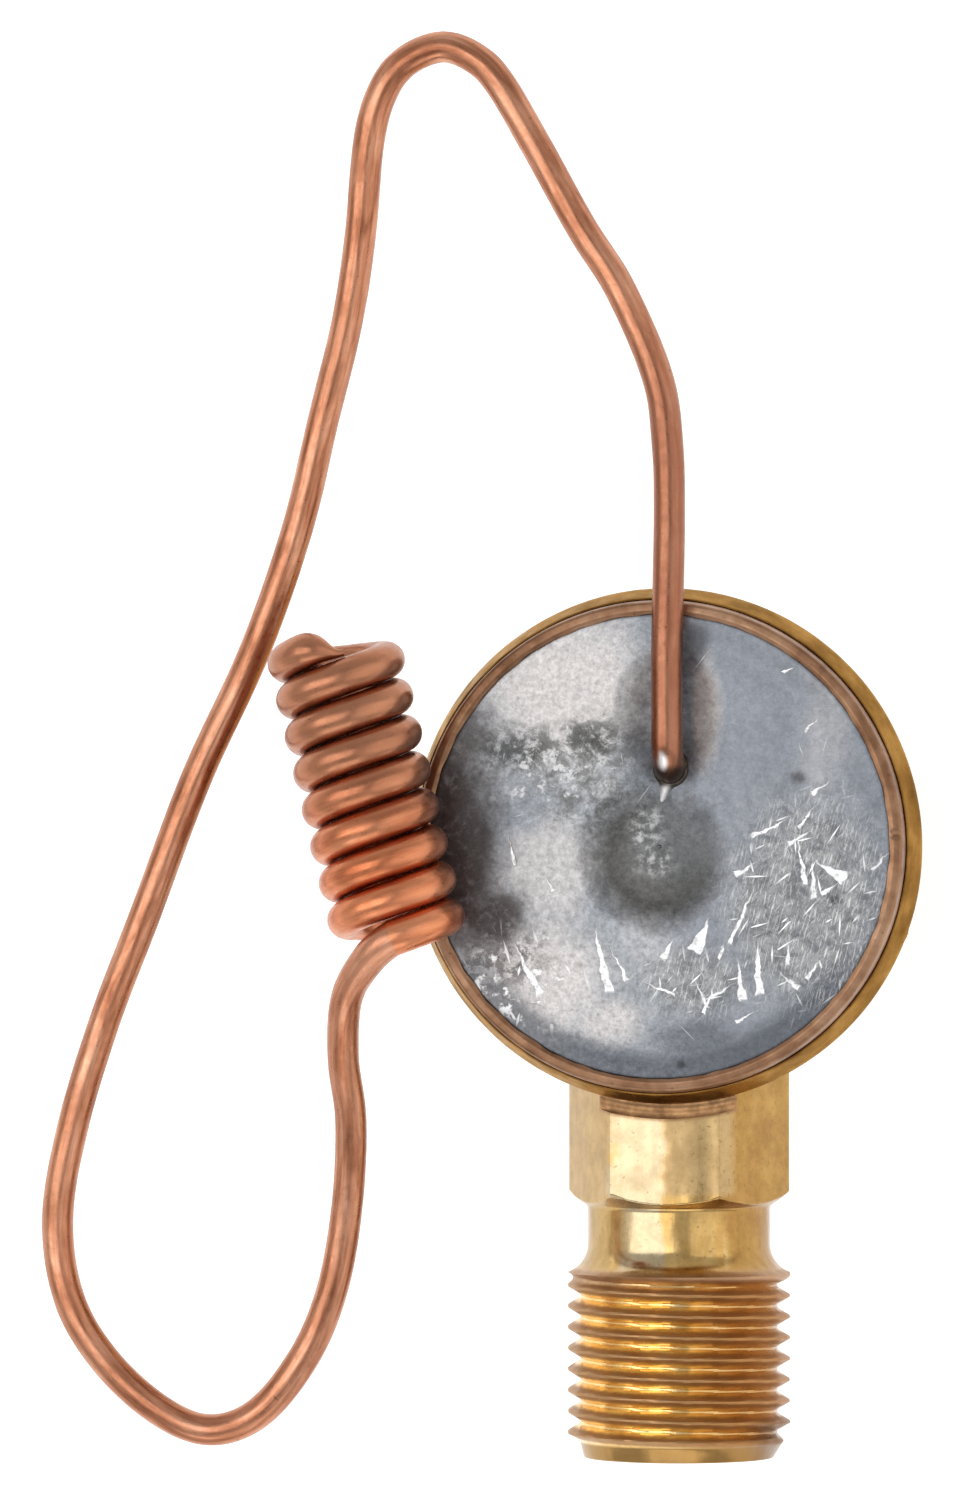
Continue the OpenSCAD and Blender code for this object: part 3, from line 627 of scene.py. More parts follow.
def scratches(n, mottle, fine, worn):
    """Hatching and strokes on the worn patch, wedge gouges, scuffs and strays at the lower left, and painted
    highlights in the bowl.
    """
    marks = n.most(hatch(n, 76, 1.3, 0.13, 0.53, 0.62, 1.0),
                   n.times(hatch(n, 48, 1.0, 0.13, 0.56, 0.65, 6.0), 0.8),
                   n.times(hatch(n, 108, 0.9, 0.12, 0.57, 0.66, 8.0), 0.7))
    marks = n.times(marks, worn, n.step(mottle, 0.35, 0.55, 0.15, 0.7))
    marks = n.most(marks, n.times(strokes(n, 1.6, 1.5, 0.13, 7.7, 0.7, 60, 60), worn),
                   n.times(strokes(n, 4.2, 2.0, 0.06, 9.4, 0.4), 0.4))
    # The gouges' outlines wander a little
    drift = [n.noise(0.9, 3, 0.5, shift=shift) for shift in (17, 23)]
    wander = n.vector("SUBTRACT", n.joined(*drift, 0.5), (0.5, 0.5, 0.5))
    moved = n.vector("MULTIPLY_ADD", wander, (0.7, 0.7, 0.0), n.place)
    torn = n.times(gouges(n, moved), n.step(fine, 0.30, 0.5, 0.5, 1.0))
    scuffed = spot(n, -9.6, -9.4, 3.9, 0.5, 0.8)
    speckled = n.most(scuffed, patches(n, (0.6, -7.0, 5.2, 4.4, 0.5, 0.7)))
    scuffs = n.times(n.step(n.noise(1.0, 5, 0.7, shift=33), 0.53, 0.63), speckled, 0.8)
    strays = n.times(strokes(n, 1.9, 1.7, 0.20, 5.3, 0.6, 100, 25), scuffed, 0.85)
    # Painted highlights: bright glints in the bowl
    flecks = n.noise(0.8, 5, 0.7, shift=27)
    high_glint = n.times(spot(n, -0.9, 1.2, 1.2, 0.6, 1.4, 1.2), n.step(flecks, 0.42, 0.66))
    low_glint = n.times(spot(n, -0.3, -1.0, 1.5, 0.6, 0.7, 1.0), n.step(flecks, 0.44, 0.70))
    return n.most(marks, torn, scuffs, strays, n.times(n.most(high_glint, low_glint), 0.6))


def tinned_cap():
    """Tin over copper, with painted light: a painted coil shadow on its left edge, painted shade and
    highlights in its hollow, and its scratches.
    """
    n = Nodes("tinned_cap")
    mottle = n.noise(1.2, 7, 0.75, warp=0.5)
    fine = n.noise(0.45, 6, 0.78, shift=3)
    worn = patches(n, (1, 10.5, -3.8, 5.4, 0.45, 1.25), (1, 2.5, -9.5, 3.4, 0.6, 0.6))
    coil_shadow_mask, ring = painted_coil_shadow(n, mottle), bowl_painted_shade(n, mottle)
    marks = scratches(n, mottle, fine, worn)
    grey = n.ramp(mottle, (0.38, (0.17, 0.175, 0.18)), (0.58, (0.42, 0.43, 0.43)))
    colour = n.tint(tin_base_and_painted_light(n), worn, 0.75, grey)
    colour = tin_marks_and_painted_light(n, colour, mottle, coil_shadow_mask, ring)
    colour = n.mix(marks, grainy_tin(n, colour, mottle, fine), (0.93, 0.94, 0.95))
    # Overall tone of the tin
    colour = n.shade(colour, (0.755, 0.75, 0.745))
    hollow = n.most(ring, spot(n, 0.8, 8.5, 3.4, 0.4, 1.5, 0.6))
    rough = n.math("MULTIPLY_ADD", hollow, 0.16, n.step(mottle, 0.3, 0.7, 0.34, 0.52))
    rough = n.math("SUBTRACT", rough, n.times(marks, 0.08))
    metal = n.math("SUBTRACT", 1.0, n.times(coil_shadow_mask, 0.4))
    normal = n.bump(n.noise(3, 2, 0.5, shift=8), 0.08, 0.4)
    normal = n.bump(fine, 0.014, 0.6, after=normal)
    normal = n.bump(marks, -0.03, 0.8, after=normal)
    return n.finish(colour, rough, normal, metal)


def solder_with_painted_light():
    """Solder round the foot of the capillary: painted dark brown as shade, with one bright run towards the
    bowl as a painted highlight.
    """
    n = Nodes("solder_with_painted_light")
    x, y, _ = n.parts(n.place)
    cloud = n.noise(0.5, 4, 0.65)
    # Painted shade: the solder is darkened where it sits in the crease round the tube
    crease_shade = n.ramp(cloud, (0.35, (0.055, 0.04, 0.03)), (0.65, (0.14, 0.115, 0.095)))
    # The bright run is a painted highlight on a thin streak of the solder's own colour
    run = n.times(n.step(n.math("ABSOLUTE", n.math("SUBTRACT", x, STUB[0] - 0.45)), 0.6, 0.3),
                 n.step(y, STUB[1] - 1.0, STUB[1] - 1.5))
    colour = n.mix(run, crease_shade, (0.70, 0.70, 0.70))
    rough = n.math("MULTIPLY_ADD", run, -0.2, n.step(cloud, 0.3, 0.7, 0.5, 0.7))
    return n.finish(colour, rough, n.bump(cloud, 0.05, 0.5))


def plain_metal(name, tone, roughness=(0.18, 0.34)):
    """Machined steel and the like: faint tool marks and clouding."""
    n = Nodes(name)
    _, _, z = n.parts(n.place)
    cloud = n.noise(1.8, 4, 0.6)
    colour = n.ramp(cloud, (0.3, tuple(c * 0.72 for c in tone)), (0.7, tone))
    marks = n.noise(0.14, 3, 0.6, where=n.joined(0.0, 0.0, z))
    rough = n.step(n.noise(0.6, 3, 0.6, shift=4), 0.3, 0.7, *roughness)
    return n.finish(colour, rough, n.bump(marks, 0.01, 0.3))


def seal_rubber():
    n = Nodes("seal_rubber")
    grain = n.noise(0.15, 4, 0.6)
    colour = n.ramp(n.noise(1.0, 3, 0.5), (0.3, (0.012, 0.012, 0.013)), (0.7, (0.035, 0.034, 0.033)))
    return n.finish(colour, n.step(grain, 0.3, 0.7, 0.5, 0.7), n.bump(grain, 0.01, 0.6), 0.0)


# ---------------------------------------------------------------- mesh helpers
def clamped(value):
    return max(0.0, min(1.0, value))


def smooth_step(low, high, value):
    t = clamped((value - low) / (high - low))
    return t * t * (3 - 2 * t)


def hump(value, middle, width):
    """1 at the middle, falling to nothing a few widths away."""
    return math.exp(-((value - middle) / width) ** 2)


def uneven(x, y, scale, layer):
    """Noise between about -1 and 1 at a point of a flat layer."""
    return noise.noise(Vector((x * scale, y * scale, layer)))


def uneven_round(angle, scale, layer):
    """Noise between about -1 and 1 that closes on itself round a circle."""
    return uneven(math.cos(angle), math.sin(angle), scale, layer)


def new_mesh(name, vertices, faces, material=None):
    """An object from vertices in millimetres."""
    mesh = bpy.data.meshes.new(name)
    mesh.from_pydata([tuple(c * MM for c in v) for v in vertices], [], faces)
    mesh.validate()
    obj = add_object(name, mesh)
    bm = bmesh.new()
    bm.from_mesh(mesh)
    bmesh.ops.recalc_face_normals(bm, faces=bm.faces)
    bm.to_mesh(mesh)
    bm.free()
    if material is not None:
        mesh.materials.append(material)
    return obj


def soften(obj, angle=32):
    """Smooth shading, broken at edges sharper than the angle."""
    limit = math.radians(angle)
    bm = bmesh.new()
    bm.from_mesh(obj.data)
    for face in bm.faces:
        face.smooth = True
    for edge in bm.edges:
        edge.smooth = len(edge.link_faces) == 2 and edge.calc_face_angle(0) < limit
    bm.to_mesh(obj.data)
    bm.free()
    return obj


def rounded(points, radius, steps=4, closed=False):
    """The outline with its corners rounded. A corner can carry its own radius as a third number."""
    result = []
    count = len(points)
    for i, point in enumerate(points):
        if not closed and i in (0, count - 1):
            result.append(Vector(point[:2]))
            continue
        here = Vector(point[:2])
        before, after = Vector(points[i - 1][:2]), Vector(points[(i + 1) % count][:2])
        a, b = (before - here), (after - here)
        wanted = point[2] if len(point) > 2 else radius
        half = a.angle(b) / 2
        if wanted <= 0 or half > math.radians(88):
            result.append(here)
            continue
        cut = min(wanted / math.tan(half), 0.45 * a.length, 0.45 * b.length)
        r = cut * math.tan(half)
        a.normalize()
        b.normalize()
        centre = here + (a + b).normalized() * (r / math.sin(half))
        start, end = here + a * cut - centre, here + b * cut - centre
        sweep = start.angle_signed(end) * -1
        for k in range(steps + 1):
            t = sweep * k / steps
            turned = Vector((start.x * math.cos(t) - start.y * math.sin(t),
                             start.x * math.sin(t) + start.y * math.cos(t)))
            result.append(centre + turned)
    return result


UPRIGHT = (Vector((0, 0, 0)), Vector((1, 0, 0)), Vector((0, 1, 0)), Vector((0, 0, 1)))
INLET = (Vector((0, 0, INLET_Z)), Vector((1, 0, 0)), Vector((0, 0, 1)), Vector((0, -1, 0)))


def revolve(name, outline, material=None, segments=192, place=UPRIGHT, shape=None, closed=False, phase=0.0):
    """Turns an outline of (radius, distance) round an axis.

    shape(radius, distance, angle) may move each point.
    phase turns the segments by a part of one, so that two solids that meet share no vertex.
    """
    origin, first, second, axis = place
    vertices, rings = [], []
    for r, s in outline:
        if r < 1e-6:
            rings.append([len(vertices)])
            vertices.append(origin + axis * s)
            continue
        ring = []
        for k in range(segments):
            angle = TAU * (k + phase) / segments
            rr, ss = shape(r, s, angle) if shape else (r, s)
            ring.append(len(vertices))
            vertices.append(origin + axis * ss + (first * math.cos(angle) + second * math.sin(angle)) * rr)
        rings.append(ring)
    faces = []
    pairs = list(zip(rings, rings[1:])) + ([(rings[-1], rings[0])] if closed else [])
    for low, high in pairs:
        for k in range(segments):
            n = (k + 1) % segments
            if len(low) == 1:
                faces.append((low[0], high[n], high[k]))
            elif len(high) == 1:
                faces.append((low[k], low[n], high[0]))
            else:
                faces.append((low[k], low[n], high[n], high[k]))
    return new_mesh(name, vertices, faces, material)


def dense(points, spacing):
    """The outline with extra points so that none are further apart than spacing."""
    result = [Vector(points[0])]
    for a, b in zip(points, points[1:]):
        a, b = Vector(a), Vector(b)
        pieces = max(1, math.ceil((b - a).length / spacing))
        result += [a.lerp(b, k / pieces) for k in range(1, pieces + 1)]
    return result


def thread_lift(phase):
    """Height of a thread, 0 at the root and 1 at the crest, for a phase from 0 to 1, root to root."""
    rise = (0.5 - abs(phase - 0.5)) * 2
    flank = max(0.0, (rise - 0.10) / 0.82)
    # The root is rounded and the crest slightly flattened
    return min(1.0, 1.06 * flank ** 1.15)


def soft_least(first, second, blend):
    """The lesser of two numbers, rounded off where they cross."""
    h = clamped(0.5 + 0.5 * (second - first) / blend)
    return second * (1 - h) + first * h - blend * h * (1 - h) / 2


def hex_radius(angle, flats, corner):
    """Radius of a hexagon with a flat at 90 degrees, slightly crowned facets and slightly rounded corners."""
    off = (angle - math.pi / 2 + math.pi / 6) % (math.pi / 3) - math.pi / 6
    radius = flats / 2 / math.cos(off) - 0.14 * (off / (math.pi / 6)) ** 2
    return soft_least(radius, corner, 0.12)


def cut(obj, other, operation):
    """Joins or subtracts a closed mesh, with the result applied."""
    modifier = obj.modifiers.new("cut", "BOOLEAN")
    modifier.operation = operation
    modifier.solver = "EXACT"
    modifier.object = other
    bpy.context.view_layer.update()
    graph = bpy.context.evaluated_depsgraph_get()
    mesh = bpy.data.meshes.new_from_object(obj.evaluated_get(graph))
    obj.modifiers.clear()
    old = obj.data
    obj.data = mesh
    bpy.data.meshes.remove(old)
    bpy.data.objects.remove(other)
    return obj


def show(obj, body, slot, *nodes, angle=32):
    """Puts a finished piece on its body, in place of the CAD nodes it stands for."""
    soften(obj, angle)
    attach(obj, body)
    if nodes:
        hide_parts(*nodes)
    return obj


# ---------------------------------------------------------------- body
def arm_flats(r, s, angle):
    """A point of the arm's bar, moved in to the hexagon."""
    facet = hex_radius(angle, ARM_FLATS, ARM_FLATS / math.sqrt(3) - 0.14)
    # The upper right corner is worn round
    facet -= 0.20 * hump(angle, math.radians(62), math.radians(11))
    return soft_least(r, facet, 0.15) if r > 1 else r, s


def inlet_ridge(r, s, angle):
    """A point of the thread's root, moved out to the ridge."""
    # The groove starts out of the flare and the ridge fades into the end chamfer
    phase = ((s + 0.15) / PITCH + angle / TAU) % 1.0
    start = clamped((s - THREAD_FROM) / 0.9)
    fade = clamped((THREAD_TO + 0.2 - s) / 1.1)
    crest = INLET_CREST_R - 0.02 - 0.03 * noise.noise(Vector((angle * 3, s * 0.8, 2.0)))
    height = thread_lift(phase) * fade
    height = 1 - (1 - height) * start
    torn = 0.16 * math.exp(-((s - 41.9) / 0.35) ** 2 - ((angle - 0.12) / 0.10) ** 2)
    return min(INLET_CREST_R + 0.04, r + (crest - r) * height + torn * height), s


def inlet_arm():
    """Hexagon, neck, flare, helical M16 x 1.5 thread and chamfered end, as one closed solid."""
    root = INLET_CREST_R - THREAD_DEPTH
    bar_r, bar_end = 8.6, 23.9
    flare_r = 2.25
    flare_end = math.acos(1 - (INLET_CREST_R - 0.05 - NECK_R) / flare_r)
    flare = [(NECK_R + flare_r * (1 - math.cos(a)), 28.4 + flare_r * math.sin(a))
             for a in np.linspace(0, flare_end, 14)]
    bar = dense([(0, 6), (6.4, 6), (bar_r, 7), (bar_r, bar_end)], 0.6)
    shoulder = rounded([(bar_r, bar_end), (bar_r, 24.1, 0.2), (7.55, 25.0, 0.9), (6.5, 25.75, 0.5),
                        (6.5, 27.6)], 0.2, 6)
    thread = [(root, s) for s in np.arange(30.6, 42.7, 0.1)]
    end = rounded([(root, 42.7), (root - 0.25, INLET_LEN), (POCKET_R + 0.4, INLET_LEN),
                   (0, INLET_LEN)], 0.15, 4)
    outline = [*bar[:-1], *dense(shoulder, 0.12), *map(Vector, flare), *map(Vector, thread), *end]

    def shape(r, s, angle):
        if s < 26:
            return arm_flats(r, s, angle)
        if THREAD_FROM < s < THREAD_TO and r > root - 0.3:
            return inlet_ridge(r, s, angle)
        return r, s

    return revolve("valve_body_visual", outline, None, 288, INLET, shape)


def upright():
    """Outlet with its helical M20 x 1.5 thread, undercut and barrel, as one closed solid."""
    root = OUTLET_CREST_R - THREAD_DEPTH
    start = rounded([(0, 0), (root - 0.6, 0), (root, 1.0)], 0.15, 4)
    thread = [(root, s) for s in np.arange(1.1, 10.9, 0.1)]
    rest = rounded([(root, 11.0), (8.6, 11.5, 0.3), (8.6, 14.0), (BARREL_R, 14.0), (BARREL_R, BODY_TOP + 1),
                    (0, BODY_TOP + 1)], 0.2, 4)

    def shape(r, s, angle):
        if 1.0 < s < 10.95:
            fade = min(1.0, (s - 1.0) / 1.2, (10.95 - s) / 1.2)
            return r + (OUTLET_CREST_R - 0.02 - r) * thread_lift((s / PITCH - angle / TAU) % 1.0) * fade, s
        return r, s

    outline = [*start, *map(Vector, thread), *rest]
    return revolve("upright", outline, None, 240, UPRIGHT, shape, phase=0.31)


def wrench_collar():
    """The hexagonal collar, from 13 to 19 mm up, with chamfered corners."""
    corners = [(0, 13), (12.6, 13), (13.6, 14.0), (13.6, 18.0), (12.6, 19), (0, 19)]
    outline = dense(rounded(corners, 0.25, 4), 1.0)

    def shape(r, s, angle):
        return min(r, hex_radius(angle, COLLAR_FLATS, 13.75)), s

    return revolve("collar", outline, None, 240, UPRIGHT, shape, phase=0.17)


def body_cutters():
    """What is taken out of the body: the relief, the head's socket, the rod guides and the flow path."""
    radii = np.arange(BARREL_R + 0.2, RELIEF_R - 0.2, 0.08)
    ripples = [(r, RELIEF_Z + 0.02 * math.sin(r * 9)) for r in radii]
    top = INLET_Z + 12
    rod_offset, passage_drop = 4.4, 1.2
    rod_hole = [(0, 17), (0.8, 17), (0.8, 28.5), (1.5, 28.5), (1.5, 30), (0, 30)]
    yield revolve("relief", [(0, BODY_TOP), (BARREL_R + 0.2, BODY_TOP), *ripples, (RELIEF_R, RELIEF_Z),
                             (RELIEF_R, top), (0, top)], None, 256, phase=0.43)
    yield revolve("socket", [(0, 29.4), (8.05, 29.4), (8.05, top), (0, top)], None, 96, phase=0.23)
    yield revolve("flow", [(0, -1), (7.9, -1), (OUTLET_BORE_R + 0.5, -0.01), (OUTLET_BORE_R, 0.5),
                           (OUTLET_BORE_R, 18.5), (3.4, 18.5), (3.4, 22.5), (3, 22.5), (3, 28.0), (0, 28.0)],
                  None, 128, phase=0.41)
    for side in (-1, 1):
        at = (Vector((side * rod_offset, 0, 0)), *UPRIGHT[1:])
        yield revolve("guide", rod_hole, None, 32, at, phase=0.29)
    low = (Vector((0, 0, INLET_Z - passage_drop)), *INLET[1:])
    yield revolve("passage", [(0, 0.1), (2, 0.1), (2, 28), (0, 28)], None, 48, low, phase=0.37)
    yield revolve("pocket", [(0, 27), (POCKET_R - 0.6, 27), (POCKET_R, 27.6), (POCKET_R, INLET_LEN - 0.4),
                             (POCKET_R + 0.4, INLET_LEN + 0.01), (POCKET_R + 0.4, INLET_LEN + 1),
                             (0, INLET_LEN + 1)], None, 128, INLET, phase=0.19)


def make_body():
    body = inlet_arm()
    cut(body, upright(), "UNION")
    cut(body, wrench_collar(), "UNION")
    for cutter in body_cutters():
        cut(body, cutter, "DIFFERENCE")
    body.data.materials.clear()
    body.data.materials.append(body_brass())
    show(body, "valve_housing", "body_brass", "valve_body")


# ---------------------------------------------------------------- power head
def make_lower_cup(material):
    outline = rounded([
        (5.6, 29.9), (8.0, 29.9), (8.0, CUP_BOTTOM), (HEAD_R - 0.8, CUP_BOTTOM, 0.3),
        (HEAD_R, CUP_WIDEST, 0.35), (GROOVE_R + 0.12, CUP_TOP, 0.1), (GROOVE_R - 0.1, CUP_TOP - 0.25, 0.05),
        (CAP_R + 0.05, CUP_TOP - 0.25), (CAP_R + 0.05, LEDGE_Z), (FLEX_R, LEDGE_Z), (FLEX_R, CUP_FLOOR),
        (5.6, CUP_FLOOR)], 0.12, 4, closed=True)

    def shape(r, s, angle):
        if r < GROOVE_R + 0.05:
            return r, s
        # Hand-dressed wall: a little out of round, with one nick standing proud
        wobble = 0.02 * uneven_round(angle, 3, s)
        nick = 0.10 * hump(angle, math.radians(340), 0.012)
        return min(HEAD_R, r + wobble + nick * (r > HEAD_R - 0.3)), s

    outline = dense(outline + [outline[0]], 0.5)[:-1]
    cup = revolve("lower_cup_visual", outline, material, 384, shape=shape, closed=True)
    show(cup, "valve_housing", "cup_brass", "lower_cup", angle=40)


def make_crimp_ring(material):
    """The brazed and rolled lip, slightly uneven where the filler flowed."""
    inner, outer = CAP_R + 0.03, GROOVE_R - 0.02
    # The inner edge is rolled a little way over the cap
    outline = rounded([(inner, CUP_TOP - 0.2), (outer, CUP_TOP - 0.2), (outer, CUP_TOP + 0.1),
                       (outer - 0.14, LIP_TOP - 0.06, 0.3), (CAP_R + 0.1, LIP_TOP, 0.3),
                       (CAP_R - 0.2, CAP_EDGE + 0.14, 0.03), (CAP_R - 0.17, CAP_EDGE + 0.06, 0.01),
                       (inner, CAP_EDGE + 0.03, 0.01)], 0.05, 8, closed=True)

    def shape(r, s, angle):
        flow = uneven_round(angle, 6, 1.0)
        notch = hump(angle, math.radians(3), 0.012)
        lift = clamped((s - CUP_TOP) / (LIP_TOP - CUP_TOP))
        ragged = 0.10 * uneven_round(angle, 14, 5.0) * (r < CAP_R)
        drop = lift * (0.04 * abs(flow) + 0.22 * notch) * (r > CAP_R)
        return r + ragged, s - drop

    ring = revolve("crimp_ring_visual", outline, material, 512, shape=shape, closed=True)
    show(ring, "valve_housing", "braze_copper", "crimp_ring", angle=50)


def keyhole_depth(x, y):
    """How far the cap is pressed in at a point: a round bowl joined to a long channel under the tube."""
    bowl = 4.9 - math.hypot(x + 0.1, y + 0.6)
    top, waist = 10.1, 3.0
    t = clamped((y - waist) / (top - waist))
    half = 1.9 + 1.4 * smooth_step(0.15, 0.85, t)
    channel = half - math.hypot(x - 0.85, y - (waist + t * (top - waist)))
    blend = 0.9
    h = clamped(0.5 + 0.5 * (bowl - channel) / blend)
    inside = channel * (1 - h) + bowl * h + blend * h * (1 - h)
    pressed = 0.75 * smooth_step(-0.9, 2.3, inside)
    boss = 0.12 * math.exp(-((x + 0.6) ** 2 + (y + 0.2) ** 2) / 2.0)
    return pressed - boss


def make_top_cap(material):
    """Pressed cap: a crowned sheet with the keyhole hollow, dents and a turned-down rim."""
    crown_end = 16.3
    crown = [(r, CAP_CROWN - 0.06 - 0.22 * (r / 16.5) ** 2 - 0.05 * smooth_step(14.6, crown_end, r))
             for r in np.arange(0.14, crown_end, 0.14)]
    rim = [(CAP_R - 0.06, CAP_EDGE - 0.05), (CAP_R - 0.01, CAP_EDGE - 0.12), (CAP_R, CAP_EDGE - 0.5),
           (CAP_R, LEDGE_Z + 0.21), (FLEX_R, LEDGE_Z + 0.21), (FLEX_R, INLET_Z + 9.4),
           (FLEX_R - 0.2, INLET_Z + 9.6)]
    under = [(r, INLET_Z + 9.75) for r in (*np.arange(14.4, 0.2, -0.4), 0)]
    skin_low = LEDGE_Z + 0.3

    def shape(r, s, angle):
        x, y = r * math.cos(angle), r * math.sin(angle)
        if r > 14.5:
            ripple = 0.02 * uneven(x, y, 0.5, 3.0) if s > CAP_EDGE - 0.2 else 0.0
            return r, s + ripple
        if s > CAP_EDGE:
            dent = 0.05 * uneven(x, y, 0.22, 7.0)
            pit = 0.02 * uneven(x, y, 0.9, 5.0)
            return r, s - keyhole_depth(x, y) + (dent + pit) * (1 - smooth_step(13.5, 14.5, r))
        return r, max(skin_low, s - max(0.0, keyhole_depth(x, y)))

    cap = revolve("top_cap_visual", [(0, CAP_CROWN), *crown, *rim, *under], material, 360, shape=shape)
    show(cap, "valve_housing", "tinned_cap", "top_cap", angle=50)


def make_solder(material):
    """The fillet of solder where the capillary goes into the cap, with one run drawn out towards the bowl."""
    floor = HOLLOW_FLOOR - 0.1
    at = (Vector((STUB[0], STUB[1], 0)), *UPRIGHT[1:])
    outline = rounded([(TUBE_R - 0.1, floor - 0.4), (1.65, floor - 0.3), (1.36, floor + 0.5, 0.3),
                       (1.2, floor + 0.8, 0.2), (TUBE_R - 0.1, floor + 0.9)], 0.15, 5, closed=True)

    def shape(r, s, angle):
        lump = 0.06 * uneven_round(angle, 1.5, s)
        run = 1.25 * hump(angle, math.radians(252), 0.21)
        return (r + lump + run * (r > 1.25), s) if r > TUBE_R + 0.03 else (r, s)

    blob = revolve("cap_solder_visual", outline, material, 144, at, shape, closed=True)
    show(blob, "valve_housing", "solder", "cap_solder", angle=60)


# ---------------------------------------------------------------- capillary and coil
def coil_point(angle):
    """A point of the coil's centreline, at an angle in degrees from its left side over the top."""
    a = math.radians(angle)
    axis = Vector((-math.sin(COIL_LEAN), math.cos(COIL_LEAN), 0))
    side = Vector((math.cos(COIL_LEAN), math.sin(COIL_LEAN), 0))
    rise = COIL_ZERO_RISE + COIL_PITCH * angle / 360
    return COIL_FOOT + axis * rise + (side * -math.cos(a) + Vector((0, 0, math.sin(a)))) * COIL_MEAN_R


def between(p0, p1, p2, p3, t):
    return 0.5 * (2 * p1 + (p2 - p0) * t + (2 * p0 - 5 * p1 + 4 * p2 - p3) * t ** 2
                  + (3 * p1 - p0 - 3 * p2 + p3) * t ** 3)


def capillary_line():
    """The capillary's centreline in millimetres: stub, elbow, route and a smooth run into the coil."""
    high = INLET_Z + ROUTE[0][2]
    elbow = [Vector((STUB[0], STUB[1] + ELBOW_R * (1 - math.cos(a)), high - ELBOW_R + ELBOW_R * math.sin(a)))
             for a in np.linspace(0, math.pi / 2, 14)]
    stub = [Vector((STUB[0], STUB[1], INLET_Z + 9.2 + 0.1 * k)) for k in range(2)]
    knots = [elbow[-1]] + [Vector((x, y, z + INLET_Z)) for x, y, z in ROUTE] + [coil_point(COIL_FIRST)]
    run_in = coil_point(COIL_FIRST + 30) - coil_point(COIL_FIRST)
    ends = [knots[0] - Vector((0, 3, 0)), *knots, knots[-1] + run_in]
    curve = []
    for i in range(len(knots) - 1):
        pieces = max(4, round((knots[i + 1] - knots[i]).length / 0.4))
        curve += [between(*ends[i:i + 4], k / pieces) for k in range(pieces)]
    # The end goes a little way on inside the coil's first turn, so that the two meet without a gap
    return stub + elbow[:-1] + curve + [coil_point(COIL_FIRST + turn) for turn in (0, 4, 8, 12)]


def wrap_uv(tube, lengths, sides):
    """UV of a swept tube: the turn round it, and the length along it in millimetres."""
    layer = tube.data.uv_layers.new(name="UVMap")
    for face in tube.data.polygons:
        columns = [v % sides for v in face.vertices]
        wraps = len(face.vertices) == 4 and max(columns) - min(columns) > 1
        for loop, vertex, column in zip(face.loop_indices, face.vertices, columns):
            turn = (column + sides if wraps and column == 0 else column) / sides
            layer.data[loop].uv = (turn, lengths[vertex // sides])


def sweep(name, line, radius, material, sides=24):
    """A closed tube along a line. radius(share, length, angle) gives the radius at each point."""
    dirs = [(line[min(i + 1, len(line) - 1)] - line[max(i - 1, 0)]).normalized() for i in range(len(line))]
    side = Vector((1, 0, 0)) if abs(dirs[0].z) > 0.9 else Vector((0, 0, 1))
    lengths = [0.0]
    for a, b in zip(line, line[1:]):
        lengths.append(lengths[-1] + (b - a).length)
    vertices = []
    for point, along, length in zip(line, dirs, lengths):
        side = (side - along * side.dot(along)).normalized()
        other = along.cross(side)
        for k in range(sides):
            angle = TAU * k / sides
            r = radius(length / lengths[-1], length, angle)
            vertices.append(point + (side * math.cos(angle) + other * math.sin(angle)) * r)
    faces = []
    for i in range(len(line) - 1):
        for k in range(sides):
            n = (k + 1) % sides
            faces.append((i * sides + k, (i + 1) * sides + k, (i + 1) * sides + n, i * sides + n))
    last = (len(line) - 1) * sides
    faces += [tuple(range(sides)), tuple(last + k for k in range(sides - 1, -1, -1))]
    tube = new_mesh(name, vertices, faces, material)
    wrap_uv(tube, lengths, sides)
    return tube


def make_capillary(material):
    def radius(share, length, angle):
        drawn = 0.008 * uneven_round(angle, 1, length * 0.6)
        dent = 0.035 * noise.noise(Vector((length * 0.22, 4.0, math.cos(angle) * 0.3)))
        swell = (COIL_TUBE_R - TUBE_R) * smooth_step(0.965, 0.995, share)
        return min(TUBE_R - 0.03 + drawn + dent * 0.5 + swell, COIL_TUBE_R - 0.02)

    tube = sweep("capillary_visual", capillary_line(), radius, material)
    show(tube, "valve_housing", "capillary_copper", "capillary_tube", angle=60)


def make_coil(material):
    """The wound coil and its pinched tip, which lies down on the turn below, as one run of tube."""
    tip = 48.0
    angles = np.arange(COIL_FIRST, COIL_LAST + 0.1, 4)
    total = COIL_LAST - COIL_FIRST

    def pinch(left):
        return 1 - 0.82 * (1 - smooth_step(0, tip, left)) ** 1.25

    axis = Vector((-math.sin(COIL_LEAN), math.cos(COIL_LEAN), 0))
    line = [coil_point(a) - axis * COIL_TUBE_R * (1 - pinch(COIL_LAST - a)) for a in angles]

    def radius(share, length, angle):
        left = (1 - share) * total
        drawn = 0.01 * uneven_round(angle, 1, length * 0.5)
        return (COIL_TUBE_R - 0.005 + drawn * 0.5) * pinch(left)

    coil = sweep("sensing_coil_visual", line, radius, material, 28)
    show(coil, "valve_housing", "coil_copper", "sensing_coil", "coil_tip", angle=60)


